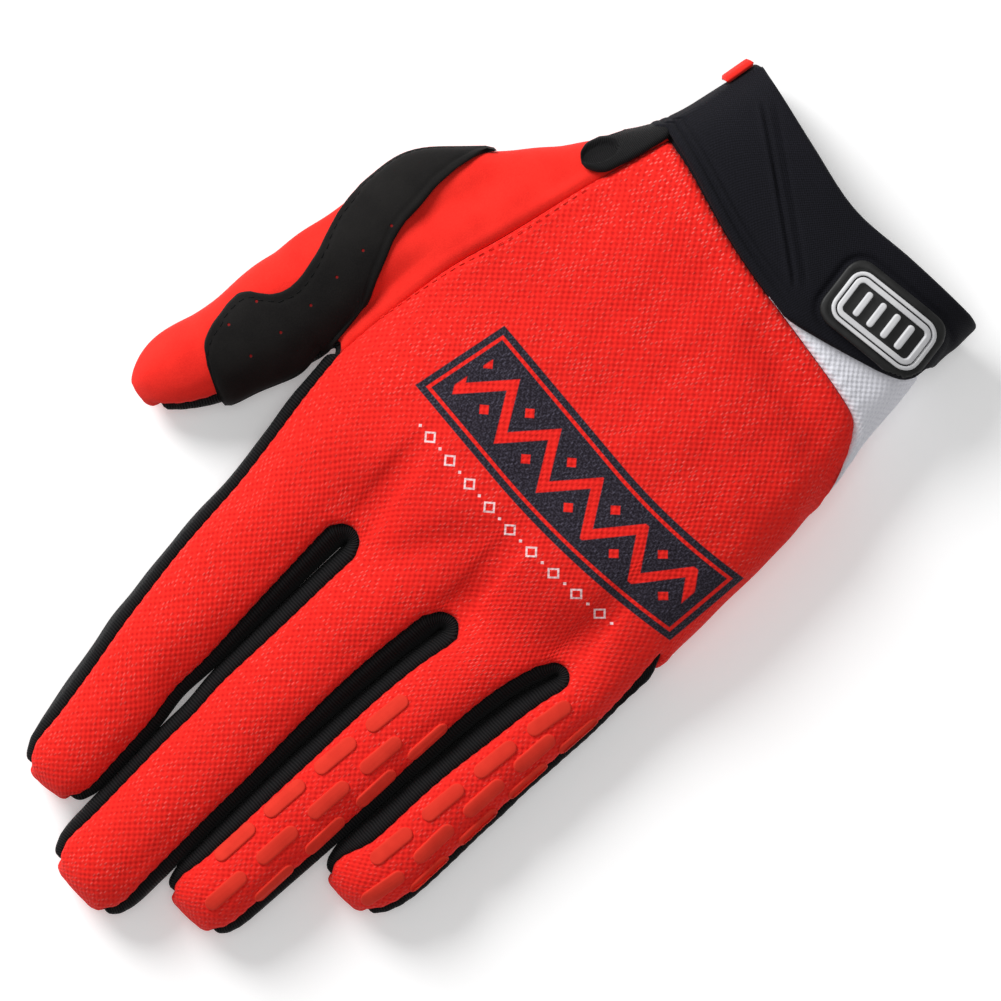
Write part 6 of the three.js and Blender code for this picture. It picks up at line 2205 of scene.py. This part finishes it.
def sewn_line(name, path, normals, finish_name, lift):
    """Stitches at equal steps along a path on the glove."""
    path = np.asarray(path)
    lengths = np.concatenate([[0], np.cumsum(np.linalg.norm(np.diff(path, axis=0), axis=1))])
    shape, shape_faces = stitch_points()
    points = []
    faces = []
    at = STITCH_PITCH / 2
    while at < lengths[-1] - STITCH_LONG / 2:
        ends = [np.array([np.interp(at + half, lengths, path[:, k]) for k in range(3)])
                for half in (-STITCH_LONG / 2, STITCH_LONG / 2)]
        normal = np.array([np.interp(at, lengths, normals[:, k]) for k in range(3)])
        ahead = (ends[1] - ends[0]) / np.linalg.norm(ends[1] - ends[0])
        side = np.cross(normal, ahead)
        side /= np.linalg.norm(side)
        up = np.cross(ahead, side)
        centre = (ends[0] + ends[1]) / 2 + up * lift
        first = len(points) * len(shape)
        points.append(centre + shape[:, :1] * ahead + shape[:, 1:2] * side + shape[:, 2:] * up)
        faces += [tuple(n + first for n in face) for face in shape_faces]
        at += STITCH_PITCH
    piece = make_object(name, to_part(np.concatenate(points)).tolist(), faces)
    piece.data.polygons.foreach_set("use_smooth", [True] * len(piece.data.polygons))
    dress(piece, finish_name)
    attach(piece, "root")
    return piece


def inset_path(places, outer, normals, inset):
    """Path inside a layer's last column, and the normals along it."""
    along = grid_lengths(places, 1)
    grid = outer.reshape(places.shape)
    path = []
    upward = []
    for k in range(len(grid)):
        wanted = max(along[k, -1] - inset, along[k, -1] / 2)
        j = int(np.argmin(np.abs(along[k] - wanted)))
        path.append(grid[k, j])
        upward.append(normals[k, j])
    return np.array(path), np.array(upward)


overlay_path, overlay_up = inset_path(overlay_places, overlay_outer, overlay_normals, STITCH_INSET)
sewn_line("overlay_stitches", overlay_path[OVERLAY_STITCHED], overlay_up[OVERLAY_STITCHED],
          "black_thread", OVERLAY_STITCH_LIFT)
back_seam_points = [skin_points[top[row][-1]] for row in range(hem_row + BACK_SEAM_FROM, crotch_row - 1)]
seam_seats = [seat_near(point + BACK_SEAM_SHIFT) for point in back_seam_points]
seam_path = np.array([place for place, _ in seam_seats])
seam_up = np.array([normal for _, normal in seam_seats])
sewn_line("back_seam_stitches", seam_path, seam_up, "red_thread", BACK_STITCH_LIFT)


# Floor, lights and camera, in metres and watts
FLOOR_REACH = 1.2
FLOOR_COLOUR = (0.95, 0.95, 0.95, 1)
FLOOR_GLOW = 0.22
WORLD_GLOW = 0.28
WHITE = (1, 1, 1, 1)
floor_mesh = bpy.data.meshes.new("floor")
floor_corners = [(a * FLOOR_REACH, b * FLOOR_REACH, 0.0) for a, b in ((-1, -1), (1, -1), (1, 1), (-1, 1))]
floor_mesh.from_pydata(floor_corners, [], [(0, 1, 2, 3)])
floor_object = bpy.data.objects.new("floor", floor_mesh)
bpy.context.scene.collection.objects.link(floor_object)
floor_finish = bpy.data.materials.new("pale_floor")
floor_finish.use_nodes = True
floor_inputs = floor_finish.node_tree.nodes["Principled BSDF"].inputs
floor_inputs["Base Color"].default_value = FLOOR_COLOUR
floor_inputs["Emission Color"].default_value = WHITE
floor_inputs["Emission Strength"].default_value = FLOOR_GLOW
floor_object.data.materials.append(floor_finish)


def area_light(name, place, aim, size, power):
    light = bpy.data.lights.new(name, "AREA")
    light.shape = "DISK"
    light.size = size
    light.energy = power
    light.color = (1, 1, 1)
    lamp = bpy.data.objects.new(name, light)
    lamp.location = place
    lamp.rotation_euler = (Vector(aim) - Vector(place)).to_track_quat("-Z", "Y").to_euler()
    bpy.context.scene.collection.objects.link(lamp)


# The image's own directions and its middle, in the part's frame
UP = Vector((0.766, -0.643, 0))
RIGHT = Vector((-0.643, -0.766, 0))
OUT = Vector((0, 0, 1))
AIM = Vector((-10.46, -10.73, 12)) * MM
LIGHTS = table(
    "name right up out size power",
    ("key_light", -0.6, 0.75, 0.65, 0.6, 14),
    ("top_light", 0, 0, 1.5, 0.8, 4),
)
for light in LIGHTS:
    away = RIGHT * light["right"] + UP * light["up"] + OUT * light["out"]
    area_light(light["name"], AIM + away, AIM, light["size"], light["power"])
world = bpy.data.worlds.new("studio")
bpy.context.scene.world = world
world.use_nodes = True
world.node_tree.nodes["Background"].inputs["Color"].default_value = WHITE
world.node_tree.nodes["Background"].inputs["Strength"].default_value = WORLD_GLOW

# The image is this wide in a plane a little above the aim; the sensor is in millimetres
CAMERA_DISTANCE = 1.3
IMAGE_WIDTH = 0.2107
IMAGE_PLANE = 0.004
CAMERA_REACH = 20
SENSOR = 36
camera_data = bpy.data.cameras.new("camera")
camera_data.sensor_width = SENSOR
camera_data.lens = SENSOR * (CAMERA_DISTANCE - IMAGE_PLANE) / IMAGE_WIDTH
camera_data.clip_end = CAMERA_REACH
camera = bpy.data.objects.new("camera", camera_data)
bpy.context.scene.collection.objects.link(camera)
camera.matrix_world = Matrix.Translation(AIM + OUT * CAMERA_DISTANCE) @ Matrix((
    (RIGHT.x, UP.x, 0, 0), (RIGHT.y, UP.y, 0, 0), (0, 0, 1, 0), (0, 0, 0, 1)))
bpy.context.scene.camera = camera
bpy.context.scene.view_settings.view_transform = "Standard"
